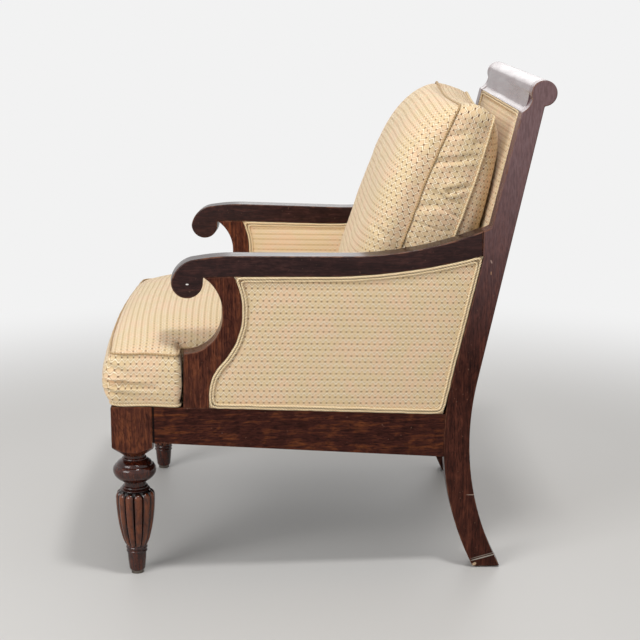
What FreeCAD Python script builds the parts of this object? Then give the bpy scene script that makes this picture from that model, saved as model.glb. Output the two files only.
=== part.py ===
import FreeCAD, Part
import math
import os

# A show-wood lounge chair with two loose boxed cushions, in millimetres.
# +Z is up, the chair faces -Y, and its left side, seen by the sitter, is +X.
# The origin is on the floor, under the middle of the chair's bounding box.

# Overall sizes
total_height = 914.0
total_depth = 824.0
front_width = 694.0
rear_width = 607.0
stock = 42.0
overrun = 6.0
wood_fit = 0.15
cloth_gap = 0.3

# Front legs: a square block over a turned and reeded leg
block_side = 74.0
seat_height = 332.0
block_drop = 78.0
neck_height = 232.0
neck_radius = 19.6
bulb_radius = 40.1
vase_radius = 36.2
vase_top = 165.0
vase_bottom = 50.0
foot_radius = 14.7
glide_height = 5.5
glide_radius = 11.5
reed_count = 12
reed_facets = 4
reed_depth = 4.0

# Rear posts: a raked stile above the seat and a sabre leg below it
back_rake = 13.2
rear_edge_rake = 12.1
post_top_depth = 38.0
knee_height = 250.0
front_knee_radius = 535.0
rear_knee_radius = 550.0
front_foot_kick = 59.0
rear_foot_kick = 62.0
rear_glide_height = 2.5

# Crest rail: a rearward roll over a hollowed face
roll_radius = 23.0
crest_lip = 39.0
crest_face = 56.0
crest_board_drop = 62.0

# Seat rails
rail_fall = 30.0
rail_depth_front = 68.0
rail_depth_rear = 82.0
front_rail_thickness = 32.0
front_rail_setback = 6.0
rear_rail_thickness = 30.0
rear_rail_setback = 6.0
tenon_length = 20.0
cross_tenon_length = 12.0
tenon_thickness = 12.0
tenon_shoulder = 9.0

# Arms and arm posts
arm_height = 607.0
arm_depth = 38.0
knob_radius = 28.5
knob_drop = 47.0
knob_reach = 69.0
arm_dip = 4.5
arm_rise = 37.0
arm_under_rise = 29.6
horn_lip = 2.0
post_foot_front = 58.2
post_reach = 108.8

# Upholstered panels in the frame, their padding and double welts
panel_thickness = 6.0
outer_recess = 3.0
inner_recess = 3.0
side_crown = 9.0
outer_crown = 3.0
back_crown = 12.0
welt_width = 9.0
welt_depth = 4.5

# Lower back rail and back webbing
lower_rail_height = 46.0
lower_rail_lift = 34.0
inner_back_lift = 8.0
back_strap_width = 50.0
strap_thickness = 2.0
back_strap_count = 4

# Seat deck in a rebate inside the rails
rebate_width = 14.0
seat_strap_width = 50.0
long_strap_count = 6
cross_strap_count = 6
hessian_thickness = 1.5
deck_pad_thickness = 9.5
deck_cover_thickness = 1.5
dust_cover_thickness = 1.2
dust_cover_margin = 8.0

# Corner blocks and their screws
corner_block_leg = 70.0
corner_block_depth = 34.0
corner_block_lift = 12.0
screw_radius = 3.2
screw_head_radius = 6.4
screw_head_height = 3.2
screw_grip = 26.0
arm_screw_depth = 9.0
arm_screw_length = 60.0

# Seat cushion: a boxed T cushion on the rails
seat_overhang = 11.0
seat_bow = 12.0
seat_boxing = 95.5
seat_crown = 58.0
seat_swell = 5.0
seat_corner = 16.0
seat_wrap = 7.0
seat_back_gap = 1.0
seat_side_gap = 1.0

# Back cushion: a boxed cushion that leans on the inner back
back_cushion_width = 502.0
back_cushion_height = 462.0
back_cushion_boxing = 77.0
back_cushion_rake = 20.0
back_cushion_top = 843.0
back_cushion_stand_off = 37.0
front_crown = 90.0
rear_crown = 52.0
back_cushion_corner = 18.0
back_cushion_waist = 4.0
back_top_swell = 16.0
cushion_gap = 0.8
cover_wall = 3.0
core_gap = 0.4

# Places worked out from the sizes above
front_y = -total_depth / 2
leg_y = front_y + seat_bow + seat_overhang + block_side / 2
block_front_y = leg_y - block_side / 2
block_back_y = leg_y + block_side / 2
leg_x = (front_width - block_side) / 2
post_inner_x = rear_width / 2 - stock
roll_y = total_depth / 2 - roll_radius
roll_z = total_height - roll_radius
crest_y = roll_y - crest_lip
crest_z = total_height - crest_face
rake = math.radians(back_rake)
rear_rake = math.radians(rear_edge_rake)


def stile_front(height):
    """Y of the stile's straight front edge at a height."""
    return crest_y - (crest_z - height) * math.tan(rake)


def stile_rear(height):
    """Y of the stile's straight rear edge at a height."""
    return crest_y + post_top_depth - (crest_z - height) * math.tan(rear_rake)


front_bend_z = knee_height + front_knee_radius * math.sin(rake)
front_knee_y = stile_front(front_bend_z) - front_knee_radius * (1 - math.cos(rake))
rear_bend_z = knee_height + rear_knee_radius * math.sin(rear_rake)
rear_knee_y = stile_rear(rear_bend_z) - rear_knee_radius * (1 - math.cos(rear_rake))
side_run = front_knee_y - block_back_y
side_taper = math.atan((front_width - rear_width) / 2 / side_run)
rail_slope = rail_fall / side_run
arm_under = arm_height - arm_depth
arm_joint_y = stile_front(arm_under + arm_under_rise) - horn_lip
arm_end = (arm_joint_y - block_back_y) / math.cos(side_taper)
arm_end_slope_share = 0.47
taper_run_share = math.tan(side_taper)
rail_fall_share = rail_slope / math.cos(side_taper)
rear_rail_y = rear_knee_y - rear_rail_setback - rear_rail_thickness
rear_rail_top = seat_height - rail_fall
front_rail_back_y = block_front_y + front_rail_setback + front_rail_thickness


def point(x, y, z):
    return FreeCAD.Vector(x, y, z)


def outline(start, *steps):
    """Closed wire: a step is a point for a straight, or (through, end) for an arc."""
    edges = []
    here = start
    for step in steps:
        if isinstance(step, tuple):
            through, end = step
            edges.append(Part.Arc(here, through, end).toShape())
        else:
            end = step
            edges.append(Part.LineSegment(here, end).toShape())
        here = end
    if here.distanceToPoint(start) > 0:
        edges.append(Part.LineSegment(here, start).toShape())
    return Part.Wire(edges)


def prism(wire, x, y, z):
    return Part.Face(wire).extrude(point(x, y, z))


def block(low, high):
    """Box between two corners."""
    size = high.sub(low)
    return Part.makeBox(size.x, size.y, size.z, low)


def mirrored(shape):
    return shape.mirror(point(0, 0, 0), point(1, 0, 0))


def join(shapes):
    """One solid out of pieces that run into each other."""
    return shapes[0].fuse(shapes[1:]).removeSplitter()


def place_side(shape):
    """From the flat side frame (outer face at X = 0, Y from the leg block) to the left side."""
    turned = shape.copy()
    turned.rotate(point(0, 0, 0), point(0, 0, 1), math.degrees(side_taper))
    turned.translate(point(front_width / 2, block_back_y, 0))
    return turned


def place_raked(shape, y, z, angle):
    """From a flat back (X wide, Y to the rear, Z along the back) to its lean."""
    leaned = shape.copy()
    leaned.rotate(point(0, 0, 0), point(1, 0, 0), -angle)
    leaned.translate(point(0, y, z))
    return leaned


def bend(start_y, start_z, end_y, end_z):
    """Middle point of an arc that leaves its start straight down."""
    side = end_y - start_y
    drop = start_z - end_z
    radius = (side * side + drop * drop) / (2 * side)
    half = math.asin(drop / radius) / 2
    return point(0, start_y + radius * (1 - math.cos(half)), start_z - radius * math.sin(half))


# Front legs

def turned_ring(height, radius, depth):
    """Points of one level of a turning; a depth carves its rim into half-round reeds."""
    points = []
    for reed in range(reed_count):
        for facet in range(reed_facets):
            turn = math.pi * facet / reed_facets
            share = facet / reed_facets
            if depth > 0:
                share = (1 - math.cos(turn)) / 2
            angle = 2 * math.pi / reed_count * (reed + share)
            reach = radius - depth * (1 - math.sin(turn))
            points.append(point(reach * math.cos(angle), reach * math.sin(angle), height))
    return points


def turned(levels):
    """Turned solid through (height, radius, reed depth) levels, from the lowest up."""
    rings = [turned_ring(*level) for level in levels]
    panes = [rings[0], rings[-1]]
    for low, high, near, far in zip(rings, rings[1:], levels, levels[1:]):
        reeded = near[2] + far[2] > 0
        for place in range(len(low)):
            if reeded:
                panes.append((low[place - 1], low[place], high[place]))
                panes.append((low[place - 1], high[place], high[place - 1]))
            else:
                panes.append((low[place - 1], low[place], high[place], high[place - 1]))
    return Part.makeSolid(Part.makeShell([Part.Face(outline(*pane)) for pane in panes]))


def leg_levels():
    """Foot and collar, the reeded vase, the neck with its ring, the bulb and the bead."""
    foot_shares = [(0.0, 1.0), (0.80, 1.22), (0.80, 1.34), (1.0, 1.34)]
    vase_shares = [(0.0, 0.52, 0.4), (0.08, 0.62, 1.0), (0.22, 0.76, 1.0), (0.48, 0.93, 1.0),
                   (0.78, 1.0, 1.0), (0.93, 0.955, 0.7), (1.0, 0.84, 0.2)]
    neck_shares = [(0.0, 1.06), (0.04, 1.06), (0.04, 1.21), (0.10, 1.21), (0.10, 1.06), (0.25, 1.06)]
    bulb_shares = [(0.25, 0.60), (0.34, 0.84), (0.45, 0.98), (0.58, 1.0), (0.70, 0.92), (0.70, 0.85),
                   (0.75, 0.71), (0.81, 0.62)]
    bead_shares = [(0.81, 1.0), (0.84, 1.0), (0.84, 1.12), (0.92, 1.12), (0.92, 1.0), (1.0, 1.0)]
    foot = vase_bottom - glide_height
    vase = vase_top - vase_bottom
    neck = neck_height - vase_top
    levels = [(glide_height + foot * z, foot_radius * r, 0) for z, r in foot_shares]
    levels += [(vase_bottom + vase * z, vase_radius * r, reed_depth * r * d) for z, r, d in vase_shares]
    levels += [(vase_top + neck * z, neck_radius * r, 0) for z, r in neck_shares]
    levels += [(vase_top + neck * z, bulb_radius * r, 0) for z, r in bulb_shares]
    levels += [(vase_top + neck * z, neck_radius * r, 0) for z, r in bead_shares]
    return levels


def leg_block():
    """Square block with a turned shoulder at its foot."""
    corner_radius = block_side / math.sqrt(2)
    shoulder_z = seat_height - block_drop
    square = block(point(-block_side / 2, -block_side / 2, neck_height),
                   point(block_side / 2, block_side / 2, seat_height))
    shoulder = turned([
        (neck_height, neck_radius, 0),
        (shoulder_z + overrun, corner_radius + overrun, 0),
        (seat_height + overrun, corner_radius + overrun, 0)])
    return square.common(shoulder)


def front_leg():
    """Left front leg in place, before its mortises."""
    leg = join([leg_block(), turned(leg_levels())])
    leg.translate(point(leg_x, leg_y, 0))
    return leg


# Rear posts

def cove(x):
    """Middle and upper end of the hollow between the crest's face and its roll."""
    middle_shares = (0.28, 0.145)
    end_shares = (0.9, 0.1)
    middle = point(x, crest_y + crest_lip * middle_shares[0], crest_z + crest_face * middle_shares[1])
    end = point(x, roll_y - roll_radius * end_shares[0], roll_z - roll_radius * end_shares[1])
    return middle, end


def post_profile(grow):
    """Side outline of the stile and sabre leg, with its front edge moved forward by grow."""
    inside_z = roll_z - roll_radius / 2
    cove_middle, cove_end = cove(0)
    bottom = rear_glide_height
    front_foot = front_knee_y + front_foot_kick
    rear_foot = rear_knee_y + rear_foot_kick
    front_bend = point(0, stile_front(front_bend_z) - grow, front_bend_z)
    front_mid_z = knee_height + front_knee_radius * math.sin(rake / 2)
    front_mid_y = front_knee_y + front_knee_radius * (1 - math.cos(rake / 2)) - grow
    rear_mid_z = knee_height + rear_knee_radius * math.sin(rear_rake / 2)
    rear_mid_y = rear_knee_y + rear_knee_radius * (1 - math.cos(rear_rake / 2))
    sabre_front = bend(front_knee_y, knee_height, front_foot, bottom)
    sabre_rear = bend(rear_knee_y, knee_height, rear_foot, bottom)
    return outline(
        point(0, crest_y - grow, crest_z),
        front_bend,
        (point(0, front_mid_y, front_mid_z), point(0, front_knee_y - grow, knee_height)),
        (sabre_front.add(point(0, -grow, 0)), point(0, front_foot - grow, bottom)),
        point(0, rear_foot, bottom),
        (sabre_rear, point(0, rear_knee_y, knee_height)),
        (point(0, rear_mid_y, rear_mid_z), point(0, stile_rear(rear_bend_z), rear_bend_z)),
        point(0, stile_rear(inside_z), inside_z),
        cove_end,
        (cove_middle, point(0, crest_y - grow, crest_z)))


def roll(x, length):
    return Part.makeCylinder(roll_radius, length, point(x, roll_y, roll_z), point(1, 0, 0))


def arm_horn():
    """Small horn on the stile that the arm butts against."""
    under_z = arm_under + arm_under_rise
    top_z = arm_height + arm_rise
    sink = post_top_depth / 3
    tip = (stile_front(top_z) - arm_joint_y) / (1 - math.tan(rake) * arm_end_slope_share)
    end_z = top_z + tip * arm_end_slope_share
    wire = outline(
        point(post_inner_x, arm_joint_y, under_z),
        point(post_inner_x, arm_joint_y, top_z),
        point(post_inner_x, arm_joint_y + tip, end_z),
        point(post_inner_x, stile_front(end_z) + sink, end_z),
        point(post_inner_x, stile_front(under_z) + sink, under_z))
    return prism(wire, stock, 0, 0)


def rear_post():
    """Left rear post in place, before its mortises."""
    plank = prism(post_profile(0), stock, 0, 0)
    plank.translate(point(post_inner_x, 0, 0))
    return join([plank, roll(post_inner_x, stock), arm_horn()])


def behind_posts(gap):
    """Everything behind the stiles' front edges, to trim what ends there."""
    wide = prism(post_profile(gap), front_width, 0, 0)
    wide.translate(point(-front_width / 2, 0, 0))
    return wide


# Side frames, drawn flat: Y runs rearward from the leg block, X = 0 is the outer face

def rail_top(run):
    return seat_height - run * rail_slope


def rail_bottom(run):
    share = run / side_run
    return rail_top(run) - rail_depth_front - (rail_depth_rear - rail_depth_front) * share


def side_rail():
    end = side_run + post_top_depth / 2
    plank = prism(outline(
        point(0, 0, rail_top(0)),
        point(0, end, rail_top(end)),
        point(0, end, rail_bottom(end)),
        point(0, 0, rail_bottom(0))), -stock, 0, 0)
    tenon_x = (stock - tenon_thickness) / 2
    front_tenon = block(
        point(-tenon_x - tenon_thickness, -tenon_length, rail_bottom(0) + tenon_shoulder),
        point(-tenon_x, overrun, rail_top(0) - tenon_shoulder))
    rear_tenon = block(
        point(-tenon_x - tenon_thickness, side_run, rail_bottom(side_run) + tenon_shoulder),
        point(-tenon_x, side_run + tenon_length, rail_top(side_run) - tenon_shoulder))
    shoulders = place_side(plank)
    front_cut = block(
        point(0, block_back_y - stock, 0), point(front_width, block_back_y, seat_height + overrun))
    rail = shoulders.cut(behind_posts(0)).cut(front_cut)
    return join([rail, place_side(front_tenon), place_side(rear_tenon)])


def arm_post_points():
    """Corner and curve points of the arm post, from shares of its reach and height."""
    foot_z = rail_top(post_foot_front)
    height = arm_under - foot_z
    shares = {
        "corner": (0.02, 0.42), "shelf": (0.08, 0.42), "scoop": (0.497, 0.505), "belly": (0.67, 0.72),
        "throat": (0.61, 0.868), "notch": (0.365, 1.0), "head": (0.865, 1.0), "nape": (0.965, 0.88),
        "hip": (1.0, 0.765), "thigh": (0.91, 0.52), "waist": (0.62, 0.325), "shin": (0.475, 0.215),
        "heel": (0.428, 0.09), "foot": (0.422, 0.0)}
    points = {}
    for name, (run_share, height_share) in shares.items():
        run = post_foot_front + post_reach * run_share
        points[name] = point(0, run, foot_z + height * height_share)
    points["foot"].z = rail_top(points["foot"].y)
    return points


def arm_post():
    p = arm_post_points()
    toe = point(0, post_foot_front, rail_top(post_foot_front))
    plank = prism(outline(
        toe,
        p["corner"],
        p["shelf"],
        (p["scoop"], p["belly"]),
        (p["throat"], p["notch"]),
        p["head"],
        (p["nape"], p["hip"]),
        (p["thigh"], p["waist"]),
        (p["shin"], p["heel"]),
        p["foot"]), -stock, 0, 0)
    tenon_x = (stock - tenon_thickness) / 2
    head_tenon = block(
        point(-tenon_x - tenon_thickness, p["notch"].y + tenon_shoulder, arm_under - overrun),
        point(-tenon_x, p["head"].y - tenon_shoulder, arm_under + tenon_length))
    foot_tenon = block(
        point(-tenon_x - tenon_thickness, post_foot_front + tenon_shoulder, toe.z - tenon_length),
        point(-tenon_x, p["foot"].y - tenon_shoulder, toe.z))
    return place_side(join([plank, head_tenon, foot_tenon]))


def arm_under_points():
    """Straight and curved underside of the arm, from the post's notch to the stile."""
    flat_end_shares = (0.50, 0.65)
    middle_shares = (0.745, 0.09)
    flat_end = point(0, arm_end * flat_end_shares[0], arm_under - arm_dip * flat_end_shares[1])
    middle = point(0, arm_end * middle_shares[0], arm_under + arm_under_rise * middle_shares[1])
    end = point(0, arm_end, arm_under + arm_under_rise)
    return flat_end, middle, end


def arm():
    """Left arm: knob, level run and upward sweep, cut to butt against the post's horn."""
    brow_shares = (0.6, 0.105)
    temple_shares = (-0.57, 0.45)
    shoulder_share = 0.022
    dip_share = 0.58
    sweep_shares = (0.82, 0.19)
    p = arm_post_points()
    knob_z = arm_height - knob_drop
    knob_side = point(0, knob_reach - knob_radius, knob_z)
    crown_end = point(0, p["head"].y, arm_height)
    brow = point(0, knob_reach + knob_radius * brow_shares[0], arm_height - knob_drop * brow_shares[1])
    temple_z = arm_height - knob_drop * temple_shares[1]
    temple = point(0, knob_reach + knob_radius * temple_shares[0], temple_z)
    shoulder = point(0, (brow.y + crown_end.y) / 2, arm_height - knob_drop * shoulder_share)
    dip = point(0, arm_end * dip_share, arm_height - arm_dip)
    sweep = point(0, arm_end * sweep_shares[0], arm_height + arm_rise * sweep_shares[1])
    end = point(0, arm_end, arm_height + arm_rise)
    tail = stock * math.tan(side_taper) + overrun
    tail_top = point(0, arm_end + tail, end.z + tail * arm_end_slope_share)
    flat_end, under_middle, under_end = arm_under_points()
    tail_under = point(0, arm_end + tail, under_end.z + tail * arm_end_slope_share)
    plank = prism(outline(
        knob_side,
        (temple, brow),
        (shoulder, crown_end),
        dip,
        (sweep, end),
        tail_top,
        tail_under,
        under_end,
        (under_middle, flat_end),
        p["head"],
        p["notch"],
        point(0, knob_reach + knob_radius, knob_z),
        (point(0, knob_reach, knob_z - knob_radius), knob_side)), -stock, 0, 0)
    behind = block(
        point(0, arm_joint_y, arm_under - stock),
        point(front_width, arm_joint_y + 2 * stock, arm_height + arm_rise + stock))
    return place_side(plank).cut(behind)


def opening_wire(depth, inset):
    """Edge of the frame opening behind the arm post, at a depth from the outer face."""
    p = arm_post_points()
    flat_end, under_middle, under_end = arm_under_points()

    def stile_run(height):
        return (stile_front(height) - block_back_y + depth * math.sin(side_taper)) / math.cos(side_taper)

    rear_top = point(0, stile_run(under_end.z), under_end.z)
    low_run = stile_run(rail_top(side_run))
    rear_low = point(0, low_run, rail_top(low_run))
    wire = outline(
        p["foot"],
        p["heel"],
        (p["shin"], p["waist"]),
        (p["thigh"], p["hip"]),
        (p["nape"], p["head"]),
        flat_end,
        (under_middle, under_end),
        rear_top,
        rear_low)
    shrunk = wire.makeOffset2D(-inset)
    shrunk.translate(point(-depth, 0, 0))
    return shrunk


swell_reach_share = 1.2


def lens(rows, half_width, at):
    """Crowned block: each row is (run, low edge, low middle, high edge, high middle)."""
    wires = []
    for run, low_edge, low_middle, high_edge, high_middle in rows:
        low_left = at(-half_width, run, low_edge)
        low_right = at(half_width, run, low_edge)
        high_left = at(-half_width, run, high_edge)
        high_right = at(half_width, run, high_edge)
        low = (at(0, run, low_middle), low_left)
        if low_middle == low_edge:
            low = low_left
        wires.append(outline(high_left, (at(0, run, high_middle), high_right), low_right, low))
    return Part.makeLoft(wires, True, True)


def crown_rows(low, high, crown, back):
    """Rows of a thin pad's swell between its two ends, over a flat back."""
    swell_shares = [(-0.25, 0.05), (0.15, 0.75), (0.5, 1.0), (0.85, 0.75), (1.25, 0.05)]
    rows = []
    for run_share, rise_share in swell_shares:
        rows.append((low + (high - low) * run_share, back, back, 0, crown * rise_share))
    return rows


def side_panel(depth, crown, sign):
    """Pad that fills the frame opening: sign 1 swells outward, -1 swells into the seat."""
    wire = opening_wire(depth, cloth_gap)
    field = opening_wire(depth, cloth_gap + welt_width + cloth_gap)
    box = wire.BoundBox
    middle_z = (box.ZMin + box.ZMax) / 2

    def at(across, run, height):
        return point(sign * height - depth, run, middle_z + across)

    plate = prism(wire, -sign * panel_thickness, 0, 0)
    rows = crown_rows(box.YMin, box.YMax, crown, -panel_thickness / 2)
    swell = lens(rows, box.ZLength / 2 * swell_reach_share, at)
    pad = join([plate, prism(field, sign * crown, 0, 0).common(swell)])
    return place_side(pad).cut(behind_posts(cloth_gap))


def side_welt(depth, thickness):
    """Double welt round the edge of a side panel."""
    outer = Part.Face(opening_wire(depth, cloth_gap))
    inner = Part.Face(opening_wire(depth, cloth_gap + welt_width))
    ring = outer.cut(inner).extrude(point(thickness, 0, 0))
    return place_side(ring).cut(behind_posts(cloth_gap))


# Back, drawn flat: X wide, Y to the rear from the stile's edge line, Z along the back

def inner_back(shape):
    return place_raked(shape, crest_y, crest_z, back_rake)


def outer_back(shape):
    return place_raked(shape, crest_y + post_top_depth, crest_z, rear_edge_rake)


inner_back_drop = (crest_z - rear_rail_top - inner_back_lift) / math.cos(rake)
outer_back_drop = (crest_z - rear_rail_top) / math.cos(rear_rake) - cloth_gap
board_depth = welt_depth + panel_thickness + strap_thickness
board_clear = outer_recess + panel_thickness
outer_back_rise = cloth_gap + board_clear * math.tan(rear_rake)


def back_panel(drop, rise, face_y, crown, sign):
    """Pad between the stiles: sign 1 swells to the rear, -1 swells to the sitter."""
    half = post_inner_x - cloth_gap
    field = half - welt_width - cloth_gap
    far_y = face_y - sign * panel_thickness
    plate = block(point(-half, min(face_y, far_y), -drop), point(half, max(face_y, far_y), -rise))
    window = block(
        point(-field, face_y - crown, welt_width + cloth_gap - drop),
        point(field, face_y + crown, -rise - cloth_gap - welt_width))

    def at(across, run, height):
        return point(across, face_y + sign * height, run)

    rows = crown_rows(-drop, 0, crown, -panel_thickness / 2)
    swell = lens(rows, half * swell_reach_share, at)
    return join([plate, window.common(swell)])


def back_welt(drop, rise, near_y, far_y):
    half = post_inner_x - cloth_gap
    outer = block(point(-half, near_y, -drop), point(half, far_y, -rise))
    inner = block(
        point(welt_width - half, near_y, welt_width - drop),
        point(half - welt_width, far_y, -rise - welt_width))
    return outer.cut(inner)


def board_front(height):
    return stile_front(height) + board_depth / math.cos(rake)


def board_rear(height):
    return stile_rear(height) - board_clear / math.cos(rear_rake)


def back_board(low, high, length, trim):
    """Board between the inner and outer back, as long as asked, thinned alike on both faces."""
    x = -length / 2
    return prism(outline(
        point(x, board_front(low) + trim, low),
        point(x, board_front(high) + trim, high),
        point(x, board_rear(high) - trim, high),
        point(x, board_rear(low) - trim, low)), length, 0, 0)


back_opening = 2 * post_inner_x
tenon_span = back_opening + 2 * cross_tenon_length


def crest_rail():
    x = -post_inner_x
    low = crest_z - crest_board_drop
    inside_z = roll_z - roll_radius / 2
    cove_middle, cove_end = cove(x)
    face = point(x, crest_y, crest_z)
    head = prism(outline(
        face,
        point(x, board_front(crest_z), crest_z),
        point(x, board_front(low), low),
        point(x, board_rear(low), low),
        point(x, board_rear(crest_z), crest_z),
        point(x, stile_rear(crest_z), crest_z),
        point(x, stile_rear(inside_z), inside_z),
        cove_end,
        (cove_middle, face)), back_opening, 0, 0)
    tenon = back_board(low + tenon_shoulder, crest_z - tenon_shoulder, tenon_span, strap_thickness)
    return join([head, roll(x, back_opening), tenon])


def lower_back_rail():
    low = rear_rail_top + lower_rail_lift
    high = low + lower_rail_height
    tenon = back_board(low + tenon_shoulder, high - tenon_shoulder, tenon_span, strap_thickness)
    return join([back_board(low, high, back_opening, 0), tenon])


def back_webbing():
    """Upright straps between the crest rail's board and the lower back rail."""
    top = -tenon_shoulder
    bottom = -(crest_z - rear_rail_top - lower_rail_lift) / math.cos(rake)
    pitch = back_opening / back_strap_count
    straps = []
    for strap in range(back_strap_count):
        x = (strap + 0.5) * pitch - post_inner_x
        straps.append(block(
            point(x - back_strap_width / 2, board_depth - strap_thickness, bottom),
            point(x + back_strap_width / 2, board_depth, top)))
    return inner_back(Part.makeCompound(straps))


# Seat frame between the legs

def cross_rail(half_length, near_y, thickness, low, high):
    """Straight rail across the chair, with a tenon at each end."""
    plank = block(point(-half_length, near_y, low), point(half_length, near_y + thickness, high))
    reach = half_length + cross_tenon_length
    cheek = (thickness - tenon_thickness) / 2
    tenon = block(
        point(-reach, near_y + cheek, low + tenon_shoulder),
        point(reach, near_y + thickness - cheek, high - tenon_shoulder))
    return join([plank, tenon])


def front_rail():
    low = seat_height - rail_depth_front
    near_y = block_front_y + front_rail_setback
    return cross_rail(leg_x - block_side / 2, near_y, front_rail_thickness, low, seat_height)


def rear_rail():
    low = rear_rail_top - rail_depth_rear
    return cross_rail(post_inner_x, rear_rail_y, rear_rail_thickness, low, rear_rail_top)


def rail_inner_x(y):
    """X of the left side rail's inner face."""
    return front_width / 2 - (y - block_back_y) * taper_run_share - stock / math.cos(side_taper)


deck_front_y = front_rail_back_y - rebate_width
deck_rear_y = rear_rail_y + rebate_width
deck_rear_z = seat_height - (deck_rear_y - block_back_y) * rail_fall_share
deck_fall_share = (seat_height - deck_rear_z) / (deck_rear_y - deck_front_y)
deck_depth = deck_cover_thickness + deck_pad_thickness + hessian_thickness + 2 * strap_thickness


def deck_layer(top, thickness, gap):
    """Slab of the sprung deck under the rails' top, notched at the leg blocks and posts."""
    block_x = leg_x - block_side / 2 - gap
    notch_y = block_back_y + gap
    post_y = front_knee_y - gap
    post_x = post_inner_x - gap
    widen = rebate_width - gap
    front = deck_front_y + gap
    rear = deck_rear_y - gap
    corners = [
        (block_x, front), (block_x, notch_y), (rail_inner_x(notch_y) + widen, notch_y),
        (rail_inner_x(post_y) + widen, post_y), (post_x, post_y), (post_x, rear)]
    ring = corners + [(-x, y) for x, y in reversed(corners)]
    points = [point(x, y, seat_height - (y - deck_front_y) * deck_fall_share - top) for x, y in ring]
    return prism(outline(points[0], *points[1:]), 0, 0, -thickness)


def seat_straps(across):
    """Flat straps of the seat webbing: along the chair below, across it above."""
    count = long_strap_count
    level = deck_depth - strap_thickness
    if across:
        count = cross_strap_count
        level = level - strap_thickness
    layer = deck_layer(level, strap_thickness, wood_fit)
    half = post_inner_x - rebate_width
    straps = []
    for strap in range(count):
        share = (strap + 0.5) / count
        if across:
            middle = block_back_y + (front_knee_y - block_back_y) * share
            low = point(-front_width, middle - seat_strap_width / 2, 0)
            high = point(front_width, middle + seat_strap_width / 2, total_height)
        else:
            middle = half * (2 * share - 1)
            low = point(middle - seat_strap_width / 2, front_y, 0)
            high = point(middle + seat_strap_width / 2, -front_y, total_height)
        straps.append(layer.common(block(low, high)))
    return Part.makeCompound(straps)


def dust_cover():
    """Black cloth under the seat, on the side rails' lower edges and up to the front rail."""
    front = front_rail_back_y + cloth_gap
    block_x = leg_x - block_side / 2 - cloth_gap
    notch = block_back_y + cloth_gap
    rear = rear_rail_y - cloth_gap
    reach = stock - dust_cover_margin
    post_y = front_knee_y - cloth_gap
    corners = [(block_x, front), (block_x, notch),
               (rail_inner_x(notch) + reach, notch), (rail_inner_x(post_y) + reach, post_y),
               (post_inner_x - cloth_gap, post_y), (post_inner_x - cloth_gap, rear)]
    ring = corners + [(-x, y) for x, y in reversed(corners)]
    points = []
    for x, y in ring:
        run = (y - block_back_y + stock * math.sin(side_taper)) / math.cos(side_taper)
        points.append(point(x, y, rail_bottom(run)))
    return prism(outline(points[0], *points[1:]), 0, 0, -dust_cover_thickness)


def corner_block_corners():
    """Plan outlines of the left front and left rear corner blocks, and their lower faces."""
    inner_x = leg_x - block_side / 2
    front = [
        (rail_inner_x(block_back_y + corner_block_leg), block_back_y + corner_block_leg),
        (rail_inner_x(block_back_y), block_back_y),
        (inner_x, block_back_y),
        (inner_x, front_rail_back_y),
        (inner_x - corner_block_leg, front_rail_back_y)]
    rear_x = rail_inner_x(front_knee_y)
    rear = [
        (rail_inner_x(front_knee_y - corner_block_leg), front_knee_y - corner_block_leg),
        (rear_x, front_knee_y),
        (rear_x, rear_rail_y),
        (rear_x - corner_block_leg, rear_rail_y)]
    front_low = seat_height - rail_depth_front + corner_block_lift
    rear_low = rear_rail_top - rail_depth_rear + corner_block_lift
    return [(front, front_low), (rear, rear_low)]


def corner_blocks():
    solids = []
    for corners, low in corner_block_corners():
        points = [point(x, y, low) for x, y in corners]
        solid = prism(outline(points[0], *points[1:]), 0, 0, corner_block_depth)
        solids.extend([solid, mirrored(solid)])
    return Part.makeCompound(solids)


def lag_screw(seat, inward, length):
    """Plain shank from its seat inward, and a hexagonal head outside it."""
    shank = Part.makeCylinder(screw_radius, length, seat, inward)
    level = point(0, 0, 1)
    across = inward.cross(level)
    rim = []
    for corner in range(6):
        angle = math.pi / 3 * corner
        spoke = across * math.cos(angle) + level * math.sin(angle)
        rim.append(seat.add(spoke * screw_head_radius))
    head = Part.Face(outline(rim[0], *rim[1:])).extrude(inward * -screw_head_height)
    return join([shank, head])


def corner_screws():
    """One screw through the long face of each corner block into the leg behind it."""
    solids = []
    for corners, low in corner_block_corners():
        first = point(corners[0][0], corners[0][1], 0)
        last = point(corners[-1][0], corners[-1][1], 0)
        along = last.sub(first)
        inward = point(-along.y, along.x, 0).normalize()
        start = first.add(last).multiply(0.5)
        start.z = low + corner_block_depth / 2
        length = corner_block_leg / 2 + screw_grip
        screw = lag_screw(start, inward, length)
        solids.extend([screw, mirrored(screw)])
    return Part.makeCompound(solids)


arm_screw_share = 0.42
arm_screw_x = post_inner_x + stock * arm_screw_share
arm_screw_z = (arm_under + arm_under_rise + arm_height + arm_rise) / 2


def arm_screw():
    """Screw through the stile into the end of the left arm."""
    seat_y = stile_rear(arm_screw_z) - arm_screw_depth - screw_head_height
    return lag_screw(point(arm_screw_x, seat_y, arm_screw_z), point(0, -1, 0), arm_screw_length)


def arm_plug(post):
    """Wooden plug over the arm screw, flush with the stile's rear edge."""
    head_y = stile_rear(arm_screw_z) - arm_screw_depth
    head = point(arm_screw_x, head_y, arm_screw_z)
    bore = Part.makeCylinder(screw_head_radius, arm_screw_depth + overrun, head, point(0, 1, 0))
    return bore.common(post)


def glide(x, y, height):
    """Nail-on glide under a foot."""
    return Part.makeCylinder(glide_radius, height, point(x, y, 0))


def glides():
    rear_y = (front_knee_y + front_foot_kick + rear_knee_y + rear_foot_kick) / 2
    front = glide(leg_x, leg_y, glide_height)
    rear = glide(post_inner_x + stock / 2, rear_y, rear_glide_height)
    return Part.makeCompound([front, mirrored(front), rear, mirrored(rear)])


# Seat cushion

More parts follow.
